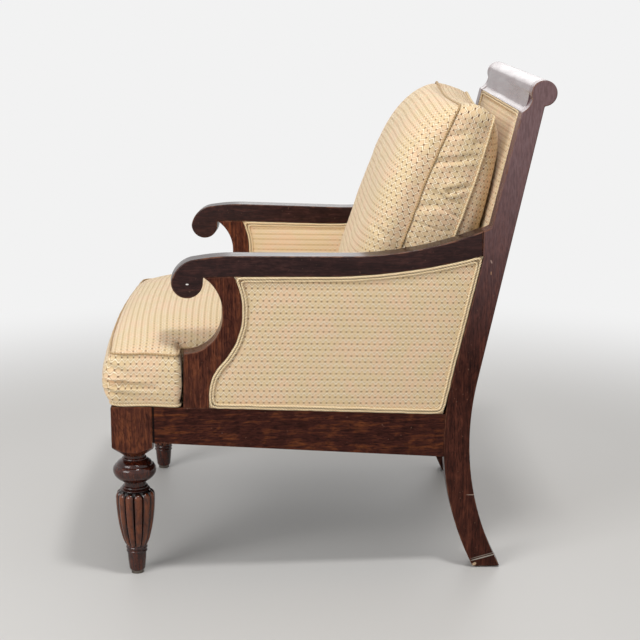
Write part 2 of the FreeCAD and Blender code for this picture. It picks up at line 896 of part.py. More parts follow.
seat_rear_y = stile_front(rear_rail_top) - (back_crown - welt_depth) / math.cos(rake) - seat_back_gap
seat_length = seat_rear_y - front_y
nip_share = 1 - math.sqrt(0.5)


def cushion_floor(y):
    """Underside of the seat cushion, carried on along the side rails' slope."""
    return seat_height + cloth_gap - (y - block_back_y) * rail_fall_share


def seat_outline(height, draw):
    """T outline at a height over the underside, drawn in all round by draw."""
    ear_x = front_width / 2 - draw
    corner_y = front_y + seat_bow + draw
    ear_y = block_back_y + post_foot_front * math.cos(side_taper) - stock * math.sin(side_taper)
    ear_y = ear_y - seat_side_gap - draw
    pad = (side_crown - inner_recess) / math.cos(side_taper) + seat_side_gap + draw
    waist_x = rail_inner_x(ear_y) - pad
    tail_y = seat_rear_y - draw
    tail_x = rail_inner_x(tail_y) - pad
    corner = seat_corner
    nip = corner * nip_share

    def at(x, y):
        return point(x, y, cushion_floor(y) + height)

    right = [
        at(ear_x - corner, corner_y), (at(ear_x - nip, corner_y + nip), at(ear_x, corner_y + corner)),
        at(ear_x, ear_y - nip), at(ear_x - nip, ear_y),
        at(waist_x, ear_y),
        at(tail_x, tail_y - corner), at(tail_x - corner, tail_y)]
    left = [
        at(corner - tail_x, tail_y), at(-tail_x, tail_y - corner),
        at(-waist_x, ear_y),
        at(nip - ear_x, ear_y), at(-ear_x, ear_y - nip),
        at(-ear_x, corner_y + corner), (at(nip - ear_x, corner_y + nip), at(corner - ear_x, corner_y))]
    bow = (at(0, front_y + draw), right[0])
    return outline(at(corner - ear_x, corner_y), bow, *right[1:], *left)


def seat_crown_rows():
    crown_shares = [(-0.04, 0.01, 0.02), (0.01, 0.02, 0.14), (0.06, 0.03, 0.45), (0.15, 0.03, 0.75),
                    (0.29, 0.03, 0.94), (0.46, 0.03, 1.0), (0.64, 0.03, 0.95), (0.80, 0.03, 0.78),
                    (0.92, 0.03, 0.50), (1.0, 0.02, 0.22), (1.06, 0.01, 0.04)]
    rows = []
    for run_share, edge_share, middle_share in crown_shares:
        y = front_y + seat_length * run_share
        top = cushion_floor(y) + seat_boxing
        low = cushion_floor(y) - stock
        rows.append((y, low, low, top + seat_crown * edge_share, top + seat_crown * middle_share))
    return rows


def seat_cushion_form():
    """T cushion: sides that swell between the seams, a crown, and a flat underside."""
    brow_shares = (0.9, 1.0)
    brow = (seat_boxing + seat_crown * brow_shares[0], seat_crown * brow_shares[1])
    levels = [(-stock / 2, seat_swell), (0, seat_swell), (seat_boxing / 2, 0),
              (seat_boxing, seat_swell), brow]
    walls = Part.makeLoft([seat_outline(height, draw) for height, draw in levels], True, True)
    crown = lens(seat_crown_rows(), front_width / 2, point)
    rest_z = seat_height + cloth_gap
    tail_y = seat_rear_y + overrun
    above = prism(outline(
        point(-front_width, front_y - overrun, rest_z),
        point(-front_width, block_back_y, rest_z),
        point(-front_width, tail_y, cushion_floor(tail_y)),
        point(-front_width, tail_y, total_height),
        point(-front_width, front_y - overrun, total_height)), 2 * front_width, 0, 0)
    return walls.common(crown).common(above).removeSplitter()


# Back cushion, along its own lean

lean = math.radians(back_cushion_rake)
cushion_top_y = stile_front(back_cushion_top) - back_cushion_stand_off


def cushion_point(across, run, height):
    """Run is measured down from the top rear seam, height forward from the rear seam."""
    return point(
        across,
        cushion_top_y - run * math.sin(lean) - height * math.cos(lean),
        back_cushion_top - run * math.cos(lean) + height * math.sin(lean))


def back_outline(height, draw, lift=0):
    """Outline of the back cushion: rounded corners and drawn-in sides, its top raised by lift."""
    half = back_cushion_width / 2 - draw
    top = draw - lift
    bottom = back_cushion_height + overrun
    corner = back_cushion_corner
    nip = corner * nip_share
    waist = back_cushion_waist

    def at(across, run):
        return cushion_point(across, run, height)

    return outline(
        at(corner - half, top),
        (at(0, top + waist), at(half - corner, top)),
        (at(half - nip, top + nip), at(half, top + corner)),
        (at(half - waist, bottom / 2), at(half, bottom - corner)),
        (at(half - nip, bottom - nip), at(half - corner, bottom)),
        at(corner - half, bottom),
        (at(nip - half, bottom - nip), at(-half, bottom - corner)),
        (at(waist - half, bottom / 2), at(-half, top + corner)),
        (at(nip - half, top + nip), at(corner - half, top)))


def back_crown_rows():
    crown_shares = [(-0.06, 0.02, 0.10), (0.03, 0.06, 0.38), (0.14, 0.12, 0.72), (0.34, 0.16, 0.97),
                    (0.68, 0.16, 0.97), (1.08, 0.08, 0.50)]
    rows = []
    for run_share, edge_share, middle_share in crown_shares:
        rows.append((
            back_cushion_height * run_share,
            -rear_crown * edge_share,
            -rear_crown * middle_share,
            back_cushion_boxing + front_crown * edge_share,
            back_cushion_boxing + front_crown * middle_share))
    return rows


def seat_surface(share):
    """Y and Z of the seat cushion's crown line at a share of its length."""
    rows = seat_crown_rows()
    y = front_y + seat_length * share
    for near, far in zip(rows, rows[1:]):
        if near[0] <= y <= far[0]:
            part = (y - near[0]) / (far[0] - near[0])
            return y, near[4] + (far[4] - near[4]) * part
    return y, rows[-1][4]


def below_cushion(gap):
    """Everything under the plane that the back cushion stands on, laid on the seat's crown."""
    near_share = 0.74
    middle_share = 0.85
    far_share = 0.96
    near_y, near_z = seat_surface(near_share)
    mid_y, mid_z = seat_surface(middle_share)
    far_y, far_z = seat_surface(far_share)
    slope = (far_z - near_z) / (far_y - near_y)
    front = front_y
    rear = -front_y
    return prism(outline(
        point(-front_width, front, mid_z + (front - mid_y) * slope + gap),
        point(-front_width, rear, mid_z + (rear - mid_y) * slope + gap),
        point(-front_width, rear, 0),
        point(-front_width, front, 0)), 2 * front_width, 0, 0)


def behind_cushion(gap):
    """Everything behind the swell of the inner back."""
    near = welt_depth - back_crown - gap
    return inner_back(block(
        point(-front_width, near, -total_height), point(front_width, total_depth, total_height)))


def back_cushion_form():
    brow_shares = (1.0, 0.75)
    brow = (back_cushion_boxing + front_crown * brow_shares[0], front_crown * brow_shares[1])
    levels = [(-rear_crown, rear_crown, 0), (0, seat_swell, 0),
              (back_cushion_boxing / 2, 0, back_top_swell),
              (back_cushion_boxing, seat_swell, 0), (*brow, 0)]
    walls = Part.makeLoft([back_outline(*level) for level in levels], True, True)
    crown = lens(back_crown_rows(), back_cushion_width / 2, cushion_point)
    form = walls.common(crown)
    form = form.cut(below_cushion(cushion_gap))
    return form.cut(behind_cushion(cloth_gap)).removeSplitter()


def seat_core_form(inset):
    """T slab of foam inside the seat cushion, a little short of its cover."""
    low = seat_outline(inset, seat_swell + inset)
    high = seat_outline(seat_boxing - seat_wrap - inset, seat_swell + inset)
    rest_z = seat_height + cloth_gap + inset
    over_block = block(
        point(-front_width, front_y, rest_z - overrun), point(front_width, block_back_y, rest_z))
    return Part.makeLoft([low, high], True, True).cut(over_block)


def back_core_form(inset):
    """Slab of foam inside the back cushion, cut to the plane that it stands on."""
    wires = [back_outline(height, seat_swell + inset) for height in (inset, back_cushion_boxing - inset)]
    slab = Part.makeLoft(wires, True, True).cut(below_cushion(cushion_gap + inset))
    return slab.cut(behind_cushion(cloth_gap + inset))


def cushion_pieces(form, core_form):
    """Cover with its quilted wrap, and the foam core inside it."""
    cover = form.cut(core_form(cover_wall))
    return cover, core_form(cover_wall + core_gap)


# The assembled pieces

deck_pocket = deck_layer(deck_depth, -deck_depth - overrun, 0)
side_frame = {
    "front_leg": front_leg(),
    "rear_post": rear_post(),
    "side_rail": side_rail().cut(deck_pocket),
    "arm": arm(),
    "arm_post": arm_post()}
crest = crest_rail()
lower_rail = lower_back_rail()
front = front_rail().cut(deck_pocket)
rear = rear_rail().cut(deck_pocket)
screws = corner_screws()
blocks = corner_blocks().cut(screws)
left_arm_screw = arm_screw()
left_plug = arm_plug(side_frame["rear_post"])
side_frame["front_leg"] = side_frame["front_leg"].cut([side_frame["side_rail"], front, screws])
side_frame["rear_post"] = side_frame["rear_post"].cut(
    [side_frame["side_rail"], rear, crest, lower_rail, screws, left_arm_screw, left_plug])
side_frame["side_rail"] = side_frame["side_rail"].cut([side_frame["arm_post"], screws])
side_frame["arm"] = side_frame["arm"].cut([side_frame["arm_post"], left_arm_screw])
rear = rear.cut(screws)
inner_depth = stock - inner_recess
side_frame["outer_side_panel"] = side_panel(outer_recess, outer_crown, 1)
side_frame["outer_side_welt"] = side_welt(outer_recess, welt_depth)
side_frame["inner_side_panel"] = side_panel(inner_depth, side_crown, -1)
side_frame["inner_side_welt"] = side_welt(inner_depth, -welt_depth)

parts = {}
for name, shape in side_frame.items():
    parts[name + "_left"] = shape
    parts[name + "_right"] = mirrored(shape)
parts["crest_rail"] = crest
parts["lower_back_rail"] = lower_rail
parts["front_rail"] = front
parts["rear_rail"] = rear
parts["corner_blocks"] = blocks
parts["corner_block_screws"] = screws
parts["arm_screws"] = Part.makeCompound([left_arm_screw, mirrored(left_arm_screw)])
parts["arm_screw_plugs"] = Part.makeCompound([left_plug, mirrored(left_plug)])
parts["floor_glides"] = glides()
parts["back_webbing"] = back_webbing()
parts["inner_back_panel"] = inner_back(back_panel(inner_back_drop, cloth_gap, welt_depth, back_crown, -1))
parts["inner_back_welt"] = inner_back(back_welt(inner_back_drop, cloth_gap, 0, welt_depth))
outer_pad = back_panel(outer_back_drop, outer_back_rise, -outer_recess, outer_crown, 1)
outer_band = back_welt(outer_back_drop, outer_back_rise, -outer_recess, welt_depth - outer_recess)
parts["outer_back_panel"] = outer_back(outer_pad)
parts["outer_back_welt"] = outer_back(outer_band)
parts["seat_webbing_long"] = seat_straps(False)
parts["seat_webbing_cross"] = seat_straps(True)
hessian_top = deck_cover_thickness + deck_pad_thickness
parts["seat_hessian"] = deck_layer(hessian_top, hessian_thickness, wood_fit)
parts["deck_pad"] = deck_layer(deck_cover_thickness, deck_pad_thickness, wood_fit)
parts["deck_cover"] = deck_layer(0, deck_cover_thickness, wood_fit)
parts["dust_cover"] = dust_cover()
seat_cover, seat_core = cushion_pieces(seat_cushion_form(), seat_core_form)
back_cover, back_core = cushion_pieces(back_cushion_form(), back_core_form)
parts["seat_cushion_cover"] = seat_cover
parts["seat_cushion_core"] = seat_core
parts["back_cushion_cover"] = back_cover
parts["back_cushion_core"] = back_core

os.makedirs("parts", exist_ok=True)
for name, shape in parts.items():
    shape.exportStep(f"parts/{name}.step")
    print(name, len(shape.Solids), shape.isValid(), round(shape.Volume / 1000, 1))
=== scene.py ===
import math

import bmesh
import bpy
import numpy as np
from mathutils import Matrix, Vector, noise


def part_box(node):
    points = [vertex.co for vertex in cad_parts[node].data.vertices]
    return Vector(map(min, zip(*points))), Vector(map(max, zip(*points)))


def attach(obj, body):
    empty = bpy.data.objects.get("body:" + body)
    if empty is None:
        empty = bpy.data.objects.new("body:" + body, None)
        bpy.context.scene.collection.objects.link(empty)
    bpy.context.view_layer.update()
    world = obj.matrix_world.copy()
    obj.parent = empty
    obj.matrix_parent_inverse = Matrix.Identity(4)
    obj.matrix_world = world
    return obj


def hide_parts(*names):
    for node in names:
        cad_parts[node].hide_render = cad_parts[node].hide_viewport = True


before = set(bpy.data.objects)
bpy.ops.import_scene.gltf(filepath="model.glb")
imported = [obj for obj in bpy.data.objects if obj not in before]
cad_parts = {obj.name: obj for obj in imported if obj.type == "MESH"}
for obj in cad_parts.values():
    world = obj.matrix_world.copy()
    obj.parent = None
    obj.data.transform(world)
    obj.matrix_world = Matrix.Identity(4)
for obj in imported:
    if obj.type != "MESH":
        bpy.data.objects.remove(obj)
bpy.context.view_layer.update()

# Show wood: mahogany, sawn and shaped by hand, stained a dark red-brown and lacquered to a soft gloss.
# Every arris is sanded round by a millimetre or two, and the lacquer is rubbed thin along it;
# a highlight along each arris is painted into the rubbed colour.

mm = 0.001
metre = 1000 * mm
side_to_side, fore_and_aft, upright = 0, 1, 2

# Width across the grain, length along it, detail and twist of each layer of the wood's figure
streaks = (4 * mm, 110 * mm, 4.0, 0.5)
boards = (26 * mm, 190 * mm, 2.0, 0.3)
mottling = (14 * mm, 24 * mm, 4.0, 0.8)
pores = (2.1 * mm, 13 * mm, 2.0, 0.0)
growth = (52 * mm, 210 * mm, 0.0, 0.25)

board_weight = 0.6
mottle_weight = 0.8
ring_waves = 120.0
pore_depth = 0.25 * mm
painted_sheen_low = 360 * mm
painted_sheen_high = 880 * mm
edge_rub_and_highlight_patch = metre / 55
speck_gap = metre / 210
glue_line = (1.2 * mm, 2.6 * mm)
mark_core_share = 0.7
weld = 0.02 * mm
shortest_edge = 0.35 * mm
flat_turn = math.radians(0.6)
arris_turn = math.radians(30)


def srgb(code):
    """Linear colour of an sRGB hex value."""
    parts = [int(code[place:place + 2], 16) / 255 for place in (1, 3, 5)]
    return [part / 12.92 if part <= 0.04045 else ((part + 0.055) / 1.055) ** 2.4 for part in parts] + [1.0]


def set_inputs(tree, node, inputs):
    """Sets a node's inputs or links them, another node by its first output."""
    for key, value in inputs.items():
        if isinstance(value, bpy.types.Node):
            value = value.outputs[0]
        if isinstance(value, bpy.types.NodeSocket):
            tree.links.new(value, node.inputs[key])
        else:
            node.inputs[key].default_value = value


def add_node(tree, kind, inputs=None, **settings):
    """Adds a node with its settings, and sets or links its inputs."""
    node = tree.nodes.new(kind)
    for name, value in settings.items():
        setattr(node, name, value)
    set_inputs(tree, node, inputs or {})
    return node


def start_material(name):
    """An empty material with its shader and output."""
    material = bpy.data.materials.new(name)
    material.use_nodes = True
    tree = material.node_tree
    tree.nodes.clear()
    shader = add_node(tree, "ShaderNodeBsdfPrincipled")
    add_node(tree, "ShaderNodeOutputMaterial", {"Surface": shader})
    return material, tree, shader


def ellipsoid_mask(tree, place, middle, halves, tilt):
    """1 within a small ellipsoid that climbs by the tilt along Y, 0 outside it."""
    away = add_node(tree, "ShaderNodeVectorMath", {0: place, 1: middle}, operation="SUBTRACT")
    x, y, z = add_node(tree, "ShaderNodeSeparateXYZ", {0: away}).outputs
    level = add_node(tree, "ShaderNodeMath", {0: y, 1: -tilt, 2: z}, operation="MULTIPLY_ADD")
    away = add_node(tree, "ShaderNodeCombineXYZ", {0: x, 1: y, 2: level})
    share = add_node(tree, "ShaderNodeVectorMath", {0: away, 1: halves}, operation="DIVIDE")
    share = add_node(tree, "ShaderNodeVectorMath", {0: share}, operation="LENGTH").outputs["Value"]
    return add_node(tree, "ShaderNodeMapRange", {0: share, 1: mark_core_share, 2: 1.0, 3: 1.0, 4: 0.0})


def mahogany(name, along, stains, painted_sheen, shine, gloss=(0.17, 0.30), joints=(), marks=()):
    """Lacquered mahogany with its grain along one axis, in a dark, a middle and a light stain.

    Streaks, growth rings and open pores run with the grain under a soft gloss. A grey sheen is painted
    into the colour towards the top, and the arrises are rubbed brown with a painted highlight along them,
    with dark glue lines and old knocks.
    """
    material, tree, shader = start_material(name)
    place = add_node(tree, "ShaderNodeTexCoord").outputs["Object"]
    split = add_node(tree, "ShaderNodeSeparateXYZ", {0: place})
    figure = []
    for across, length, detail, twist in (streaks, boards, mottling, pores, growth):
        scale = [1 / across] * 3
        scale[along] = 1 / length
        drawn = add_node(tree, "ShaderNodeMapping", {"Vector": place, "Scale": scale})
        figure.append(add_node(tree, "ShaderNodeTexNoise", {
            "Vector": drawn, "Scale": 1.0, "Detail": detail, "Distortion": twist}))
    streak, board, mottle, pore, ring = figure
    tone = add_node(tree, "ShaderNodeMath", {0: board, 1: board_weight, 2: streak}, operation="MULTIPLY_ADD")
    tone = add_node(tree, "ShaderNodeMath", {0: mottle, 1: mottle_weight, 2: tone}, operation="MULTIPLY_ADD")
    tone = add_node(tree, "ShaderNodeMapRange", {0: tone, 1: 0.78, 2: 1.62})
    ramp = add_node(tree, "ShaderNodeValToRGB", {0: tone})
    dark, middle, light = [srgb(stain) for stain in stains]
    ramp.color_ramp.elements[0].color = dark
    ramp.color_ramp.elements[1].color = light
    ramp.color_ramp.elements.new(0.5).color = middle
    rings = add_node(tree, "ShaderNodeMath", {0: ring, 1: ring_waves}, operation="MULTIPLY")
    rings = add_node(tree, "ShaderNodeMath", {0: rings}, operation="SINE")
    rings = add_node(tree, "ShaderNodeMapRange", {0: rings, 1: 0.75, 2: 1.0, 3: 0.0, 4: 0.35})
    pits = add_node(tree, "ShaderNodeMapRange", {0: pore, 1: 0.52, 2: 0.66, 3: 0.0, 4: 0.6})
    lines = add_node(tree, "ShaderNodeMath", {0: rings, 1: pits}, operation="MAXIMUM")
    # Painted sheen: the colour turns grey towards the top, in place of the lacquer's reflection.
    height = add_node(tree, "ShaderNodeMapRange", {
        0: split.outputs[2], 1: painted_sheen_low, 2: painted_sheen_high, 3: 0.0, 4: painted_sheen}, interpolation_type="SMOOTHSTEP")
    fleck = add_node(tree, "ShaderNodeMapRange", {0: pore, 1: 0.30, 2: 0.62, 3: 1.1, 4: 0.75})
    painted_sheen_coat = add_node(tree, "ShaderNodeMath", {0: height, 1: fleck}, operation="MULTIPLY")
    # Rubbed arrises: the bevel faces get a lighter brown, both real edge wear and a painted highlight.
    marks_and_painted_light = add_node(tree, "ShaderNodeAttribute", attribute_name="marks_and_painted_light").outputs["Fac"]
    edge_rub_and_highlight = add_node(tree, "ShaderNodeTexNoise", {"Vector": place, "Scale": 1 / edge_rub_and_highlight_patch, "Detail": 5.0})
    edge_rub_and_highlight = add_node(tree, "ShaderNodeMapRange", {0: edge_rub_and_highlight, 1: 0.46, 2: 0.66, 3: 0.10, 4: 0.85})
    edge_rub_and_highlight = add_node(tree, "ShaderNodeMath", {0: edge_rub_and_highlight, 1: marks_and_painted_light}, operation="MULTIPLY")
    speck = add_node(tree, "ShaderNodeTexNoise", {"Vector": place, "Scale": 1 / speck_gap, "Detail": 1.0})
    speck = add_node(tree, "ShaderNodeMapRange", {0: speck, 1: 0.74, 2: 0.78, 3: 0.0, 4: 0.3})
    # Reed crowns: a lighter orange-brown, a painted highlight on the reed tops.
    reed = add_node(tree, "ShaderNodeAttribute", attribute_name="reed").outputs["Fac"]
    crown = add_node(tree, "ShaderNodeMapRange", {0: reed, 1: 0.35, 2: 1.0, 3: 0.0, 4: 1.0})
    patch = add_node(tree, "ShaderNodeMapRange", {0: mottle, 1: 0.28, 2: 0.72, 3: 0.15, 4: 0.75})
    crown = add_node(tree, "ShaderNodeMath", {0: crown, 1: patch}, operation="MULTIPLY")
    # Grooves: near-black, glaze that gathers there together with painted shade.
    groove_glaze_and_shade = add_node(tree, "ShaderNodeAttribute", attribute_name="groove_glaze_and_shade").outputs["Fac"]
    groove_glaze_and_shade = add_node(tree, "ShaderNodeMapRange", {0: groove_glaze_and_shade, 1: 0.25, 2: 0.75, 3: 0.0, 4: 0.92})
    coats = [(lines, "#160807"), (painted_sheen_coat, "#7C6466"), (edge_rub_and_highlight, "#6E4836"), (speck, "#8D6B58"),
             (crown, "#82431F"), (groove_glaze_and_shade, "#0B0403")]
    for axis, level in joints:
        away = add_node(tree, "ShaderNodeMath", {0: split.outputs[axis], 1: level}, operation="SUBTRACT")
        away = add_node(tree, "ShaderNodeMath", {0: away}, operation="ABSOLUTE")
        line = add_node(tree, "ShaderNodeMapRange", {
            0: away, 1: glue_line[0], 2: glue_line[1], 3: 0.95, 4: 0.0})
        coats.append((line, "#070303"))
    for spot, halves, tilt, colour in marks:
        coats.append((ellipsoid_mask(tree, place, spot, halves, tilt), colour))
    last = ramp
    for share, colour in coats:
        mixed = add_node(tree, "ShaderNodeMix", {0: share, 6: last, 7: srgb(colour)}, data_type="RGBA")
        last = mixed.outputs[2]
    rough = add_node(tree, "ShaderNodeMapRange", {0: board, 1: 0.3, 2: 0.7, 3: gloss[0], 4: gloss[1]})
    bump = add_node(tree, "ShaderNodeBump", {"Height": pore, "Strength": 0.12, "Distance": pore_depth})
    set_inputs(tree, shader, {
        "Base Color": last, "Roughness": rough, "Normal": bump, "IOR": 1.40, "Specular IOR Level": shine})
    return material


rail_low, rail_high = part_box("side_rail_left")
arm_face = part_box("arm_left")[1][0]
post_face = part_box("rear_post_left")[1][0]
rail_face = rail_high[0]
rail_tenon = 25 * mm
knock_depth = 12 * mm

# Place, half sizes, climb and colour of each chip, scratch and scuff in the lacquer, and of two painted
# glints
rail_marks = [
    ((rail_face, -188 * mm, 279 * mm), (knock_depth, 1.2 * mm, 3.2 * mm), 0.0, "#8E7A6C"),
    ((rail_face, -69 * mm, 297 * mm), (knock_depth, 0.9 * mm, 2.4 * mm), 0.0, "#84705F"),
    ((rail_face, -39 * mm, 285 * mm), (knock_depth, 0.9 * mm, 5.0 * mm), 0.0, "#84705F")]
# The two near-white marks on the arm are nicks with a painted glint on them.
arm_marks_and_glints = [
    ((arm_face, -246 * mm, 557.3 * mm), (knock_depth, 3.2 * mm, 1.5 * mm), 0.0, "#E2DDD8"),
    ((arm_face, -97.5 * mm, 574.6 * mm), (knock_depth, 2.2 * mm, 1.6 * mm), 0.0, "#E2DDD8"),
    ((arm_face, -93.5 * mm, 585 * mm), (knock_depth, 6.0 * mm, 1.3 * mm), 2.6, "#7C7078")]
post_marks = [
    ((post_face, 302 * mm, 20.5 * mm), (knock_depth, 30 * mm, 1.4 * mm), 0.28, "#A39B90"),
    ((post_face, 302 * mm, 24.5 * mm), (knock_depth, 30 * mm, 1.0 * mm), 0.28, "#7E736A"),
    ((post_face, 284 * mm, 7 * mm), (knock_depth, 4.5 * mm, 3.5 * mm), 0.3, "#B79C80"),
    ((post_face, 278 * mm, 145 * mm), (knock_depth, 14 * mm, 0.9 * mm), 0.0, "#9A8578"),
    ((post_face, 302 * mm, 589 * mm), (knock_depth, 2.0 * mm, 3.0 * mm), -1.2, "#9B8278"),
    ((post_face, 302 * mm, 568 * mm), (knock_depth, 1.0 * mm, 4.0 * mm), 0.0, "#A07A60")]

# Each wood's haze share is a grey sheen painted into its colour towards the top.
rail_wood = mahogany(
    "lacquered_mahogany_rail", fore_and_aft, ("#1F0B06", "#401F18", "#733F21"), painted_sheen=0.0, shine=0.12,
    joints=((fore_and_aft, rail_low[1] + rail_tenon), (fore_and_aft, rail_high[1])), marks=rail_marks)
cross_wood = mahogany(
    "lacquered_mahogany_cross_rail", side_to_side, ("#180A09", "#331614", "#4E231A"), painted_sheen=0.0, shine=0.2)
crest_wood = mahogany(
    "lacquered_mahogany_crest", side_to_side, ("#2B1B1B", "#3C2523", "#4C302B"), painted_sheen=0.75, shine=0.75)
post_wood = mahogany(
    "lacquered_mahogany_post", upright, ("#200D08", "#3F1F17", "#603426"), painted_sheen=0.9, shine=0.14,
    marks=post_marks)
upright_wood = mahogany(
    "lacquered_mahogany_upright", upright, ("#270E09", "#4E291E", "#7C462C"), painted_sheen=0.0, shine=0.14)
leg_wood = mahogany(
    "lacquered_mahogany_turned", upright, ("#140605", "#32120A", "#5C2816"), painted_sheen=0.0, shine=0.65,
    gloss=(0.10, 0.16))
arm_wood = mahogany(
    "lacquered_mahogany_arm", fore_and_aft, ("#150909", "#2A1513", "#462823"), painted_sheen=0.08, shine=0.3,
    marks=arm_marks_and_glints)


def shaded(name, mesh, material, crease_degrees=40):
    """Object from a mesh, smooth but for edges sharper than the crease."""
    mesh.materials.clear()
    mesh.materials.append(material)
    mesh.shade_smooth()
    mesh.set_sharp_from_angle(angle=math.radians(crease_degrees))
    piece = bpy.data.objects.new(name, mesh)
    bpy.context.scene.collection.objects.link(piece)
    return piece


def settled(piece):
    """Makes a piece's modifiers part of its mesh."""
    graph = bpy.context.evaluated_depsgraph_get()
    made = bpy.data.meshes.new_from_object(piece.evaluated_get(graph), depsgraph=graph)
    piece.modifiers.clear()
    piece.data = made
    return piece


def put_on(piece, body, slot, *nodes):
    """Rides a finished piece on its body, in place of the plain nodes that it stands for."""
    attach(piece, body)
    if nodes:
        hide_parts(*nodes)
    return piece


def opened(node):
    """Editable copy of a plain node, with its loose triangles joined."""
    form = bmesh.new()
    form.from_mesh(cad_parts[node].data)
    bmesh.ops.remove_doubles(form, verts=form.verts, dist=weld)
    return form


def closed(form, name):
    """Mesh of an edited form."""
    mesh = bpy.data.meshes.new(name)
    form.to_mesh(mesh)
    form.free()
    return mesh


def eased(node, width, material, low=None):
    """A wooden piece with its arrises rounded, kept above a height where one is given."""
    form = opened(node)
    if low is not None:
        everything = form.verts[:] + form.edges[:] + form.faces[:]
        bmesh.ops.bisect_plane(
            form, geom=everything, plane_co=(0, 0, low), plane_no=(0, 0, 1), clear_inner=True)
        bmesh.ops.holes_fill(form, edges=[edge for edge in form.edges if edge.is_boundary])
    bmesh.ops.dissolve_limit(form, angle_limit=flat_turn, verts=form.verts, edges=form.edges)
    bmesh.ops.dissolve_degenerate(form, dist=shortest_edge, edges=form.edges)
    arrises = [edge for edge in form.edges if edge.is_manifold and edge.calc_face_angle() > arris_turn]
    # The bevel faces are marked for the rubbed colour: edge wear with a painted highlight.
    marks_and_painted_light = form.faces.layers.float.new("marks_and_painted_light")
    cut = bmesh.ops.bevel(
        form, geom=arrises, offset=width, segments=3, profile=0.5, affect="EDGES", clamp_overlap=False)
    for face in cut["faces"]:
        face[marks_and_painted_light] = 1.0
    bmesh.ops.triangulate(form, faces=form.faces)
    piece = shaded(node + "_eased", closed(form, node), material)
    piece.modifiers.new("even", "WEIGHTED_NORMAL").keep_sharp = True
    settled(piece)
    return put_on(piece, "chair_frame", "mahogany", node)


# Front legs: a square block over a leg turned on a lathe, with a bulb between two necks and a vase.
# Twelve half-round reeds with tongue-shaped tops are carved round the vase afterwards.

leg_place = (310 * mm, -352 * mm)
neck_top = 232 * mm
reed_count = 12
reed_steps = 16
reed_depth = 6.0 * mm
reed_tongue = 9.0 * mm
reed_fade = 4 * mm
shallow_share = 0.55
deepest_z = 120 * mm
vase_low = 54 * mm
vase_high = 163 * mm
turned_crease = math.radians(48)

# In millimetres: step along the curves, and radius and height along each run from the toe to the top neck
profile_step = 1.6
leg_profile = [
    [(10.5, 5.5), (13.4, 6.6), (14.7, 9.5)],
    [(14.7, 9.5), (16.4, 25), (17.6, 42)],
    [(17.6, 42.2), (19.3, 43.0), (19.6, 44.6), (18.5, 46.2)],
    [(18.0, 46.6), (18.0, 48.6)],
    [(18.6, 49.0), (19.8, 50.2), (19.8, 52.0), (18.8, 53.4)],
    [(18.8, 53.6), (24.4, 66), (29.6, 85), (33.0, 104), (35.3, 125), (36.4, 145), (36.0, 155), (34.2, 161),
     (30.5, 165), (25.6, 167.4)],
    [(23.4, 167.8), (24.4, 169.4), (23.6, 171.8), (21.2, 172.8)],
    [(20.8, 173), (20.3, 177), (20.9, 180.8)],
    [(21.4, 181), (26.0, 183.4), (33.0, 188.4), (38.2, 195), (40.1, 202.5), (38.9, 209), (35.8, 213)],
    [(33.4, 213.6), (32.4, 216.6), (28.6, 220.6), (23.8, 223.4)],
    [(22.4, 223.8), (22.9, 225.6), (21.6, 227.6)],
    [(19.8, 228), (19.6, 232.5)]]


def smooth_run(points, spacing):
    """Points along a curve through the given ones, at about the spacing."""
    points = np.array(points, float)
    ends = np.vstack([2 * points[0] - points[1], points, 2 * points[-1] - points[-2]])
    found = []
    for a, b, c, d in zip(ends[:-3], ends[1:-2], ends[2:-1], ends[3:]):
        before, here, after = [np.linalg.norm(far - near) for near, far in ((a, b), (b, c), (c, d))]
        leave = ((b - a) * here / before + (c - b) * before / here) * here / (before + here)
        arrive = ((c - b) * after / here + (d - c) * here / after) * here / (here + after)
        count = max(1, math.ceil(here / spacing))
        for step in range(count):
            t = step / count
            found.append((2 * t ** 3 - 3 * t ** 2 + 1) * b + (t ** 3 - 2 * t ** 2 + t) * leave
                         + (3 * t ** 2 - 2 * t ** 3) * c + (t ** 3 - t ** 2) * arrive)
    found.append(points[-1])
    return np.array(found)


def capped_tube(name, points, size):
    """Mesh through rows of as many points each, with a face over either end."""
    rows = len(points) // size
    faces = []
    for row in range(rows - 1):
        for spot in range(size):
            after = (spot + 1) % size
            faces.append((
                row * size + spot, row * size + after, (row + 1) * size + after, (row + 1) * size + spot))
    faces.append(tuple(reversed(range(size))))
    faces.append(tuple(range((rows - 1) * size, rows * size)))
    mesh = bpy.data.meshes.new(name)
    mesh.from_pydata(points, [], faces)
    return mesh


def turned_mesh(name, runs):
    """Lathe-turned mesh round Z, with its rim points closer together where reeds will meet."""
    rows = np.vstack([smooth_run(run, profile_step) for run in runs]) * mm
    share = (1 - np.cos(np.pi * np.arange(reed_steps) / reed_steps)) / 2
    angles = np.concatenate([(reed + share) * 2 * np.pi / reed_count for reed in range(reed_count)])
    points = [(r * math.cos(a), r * math.sin(a), z) for r, z in rows for a in angles]
    return capped_tube(name, points, len(angles))


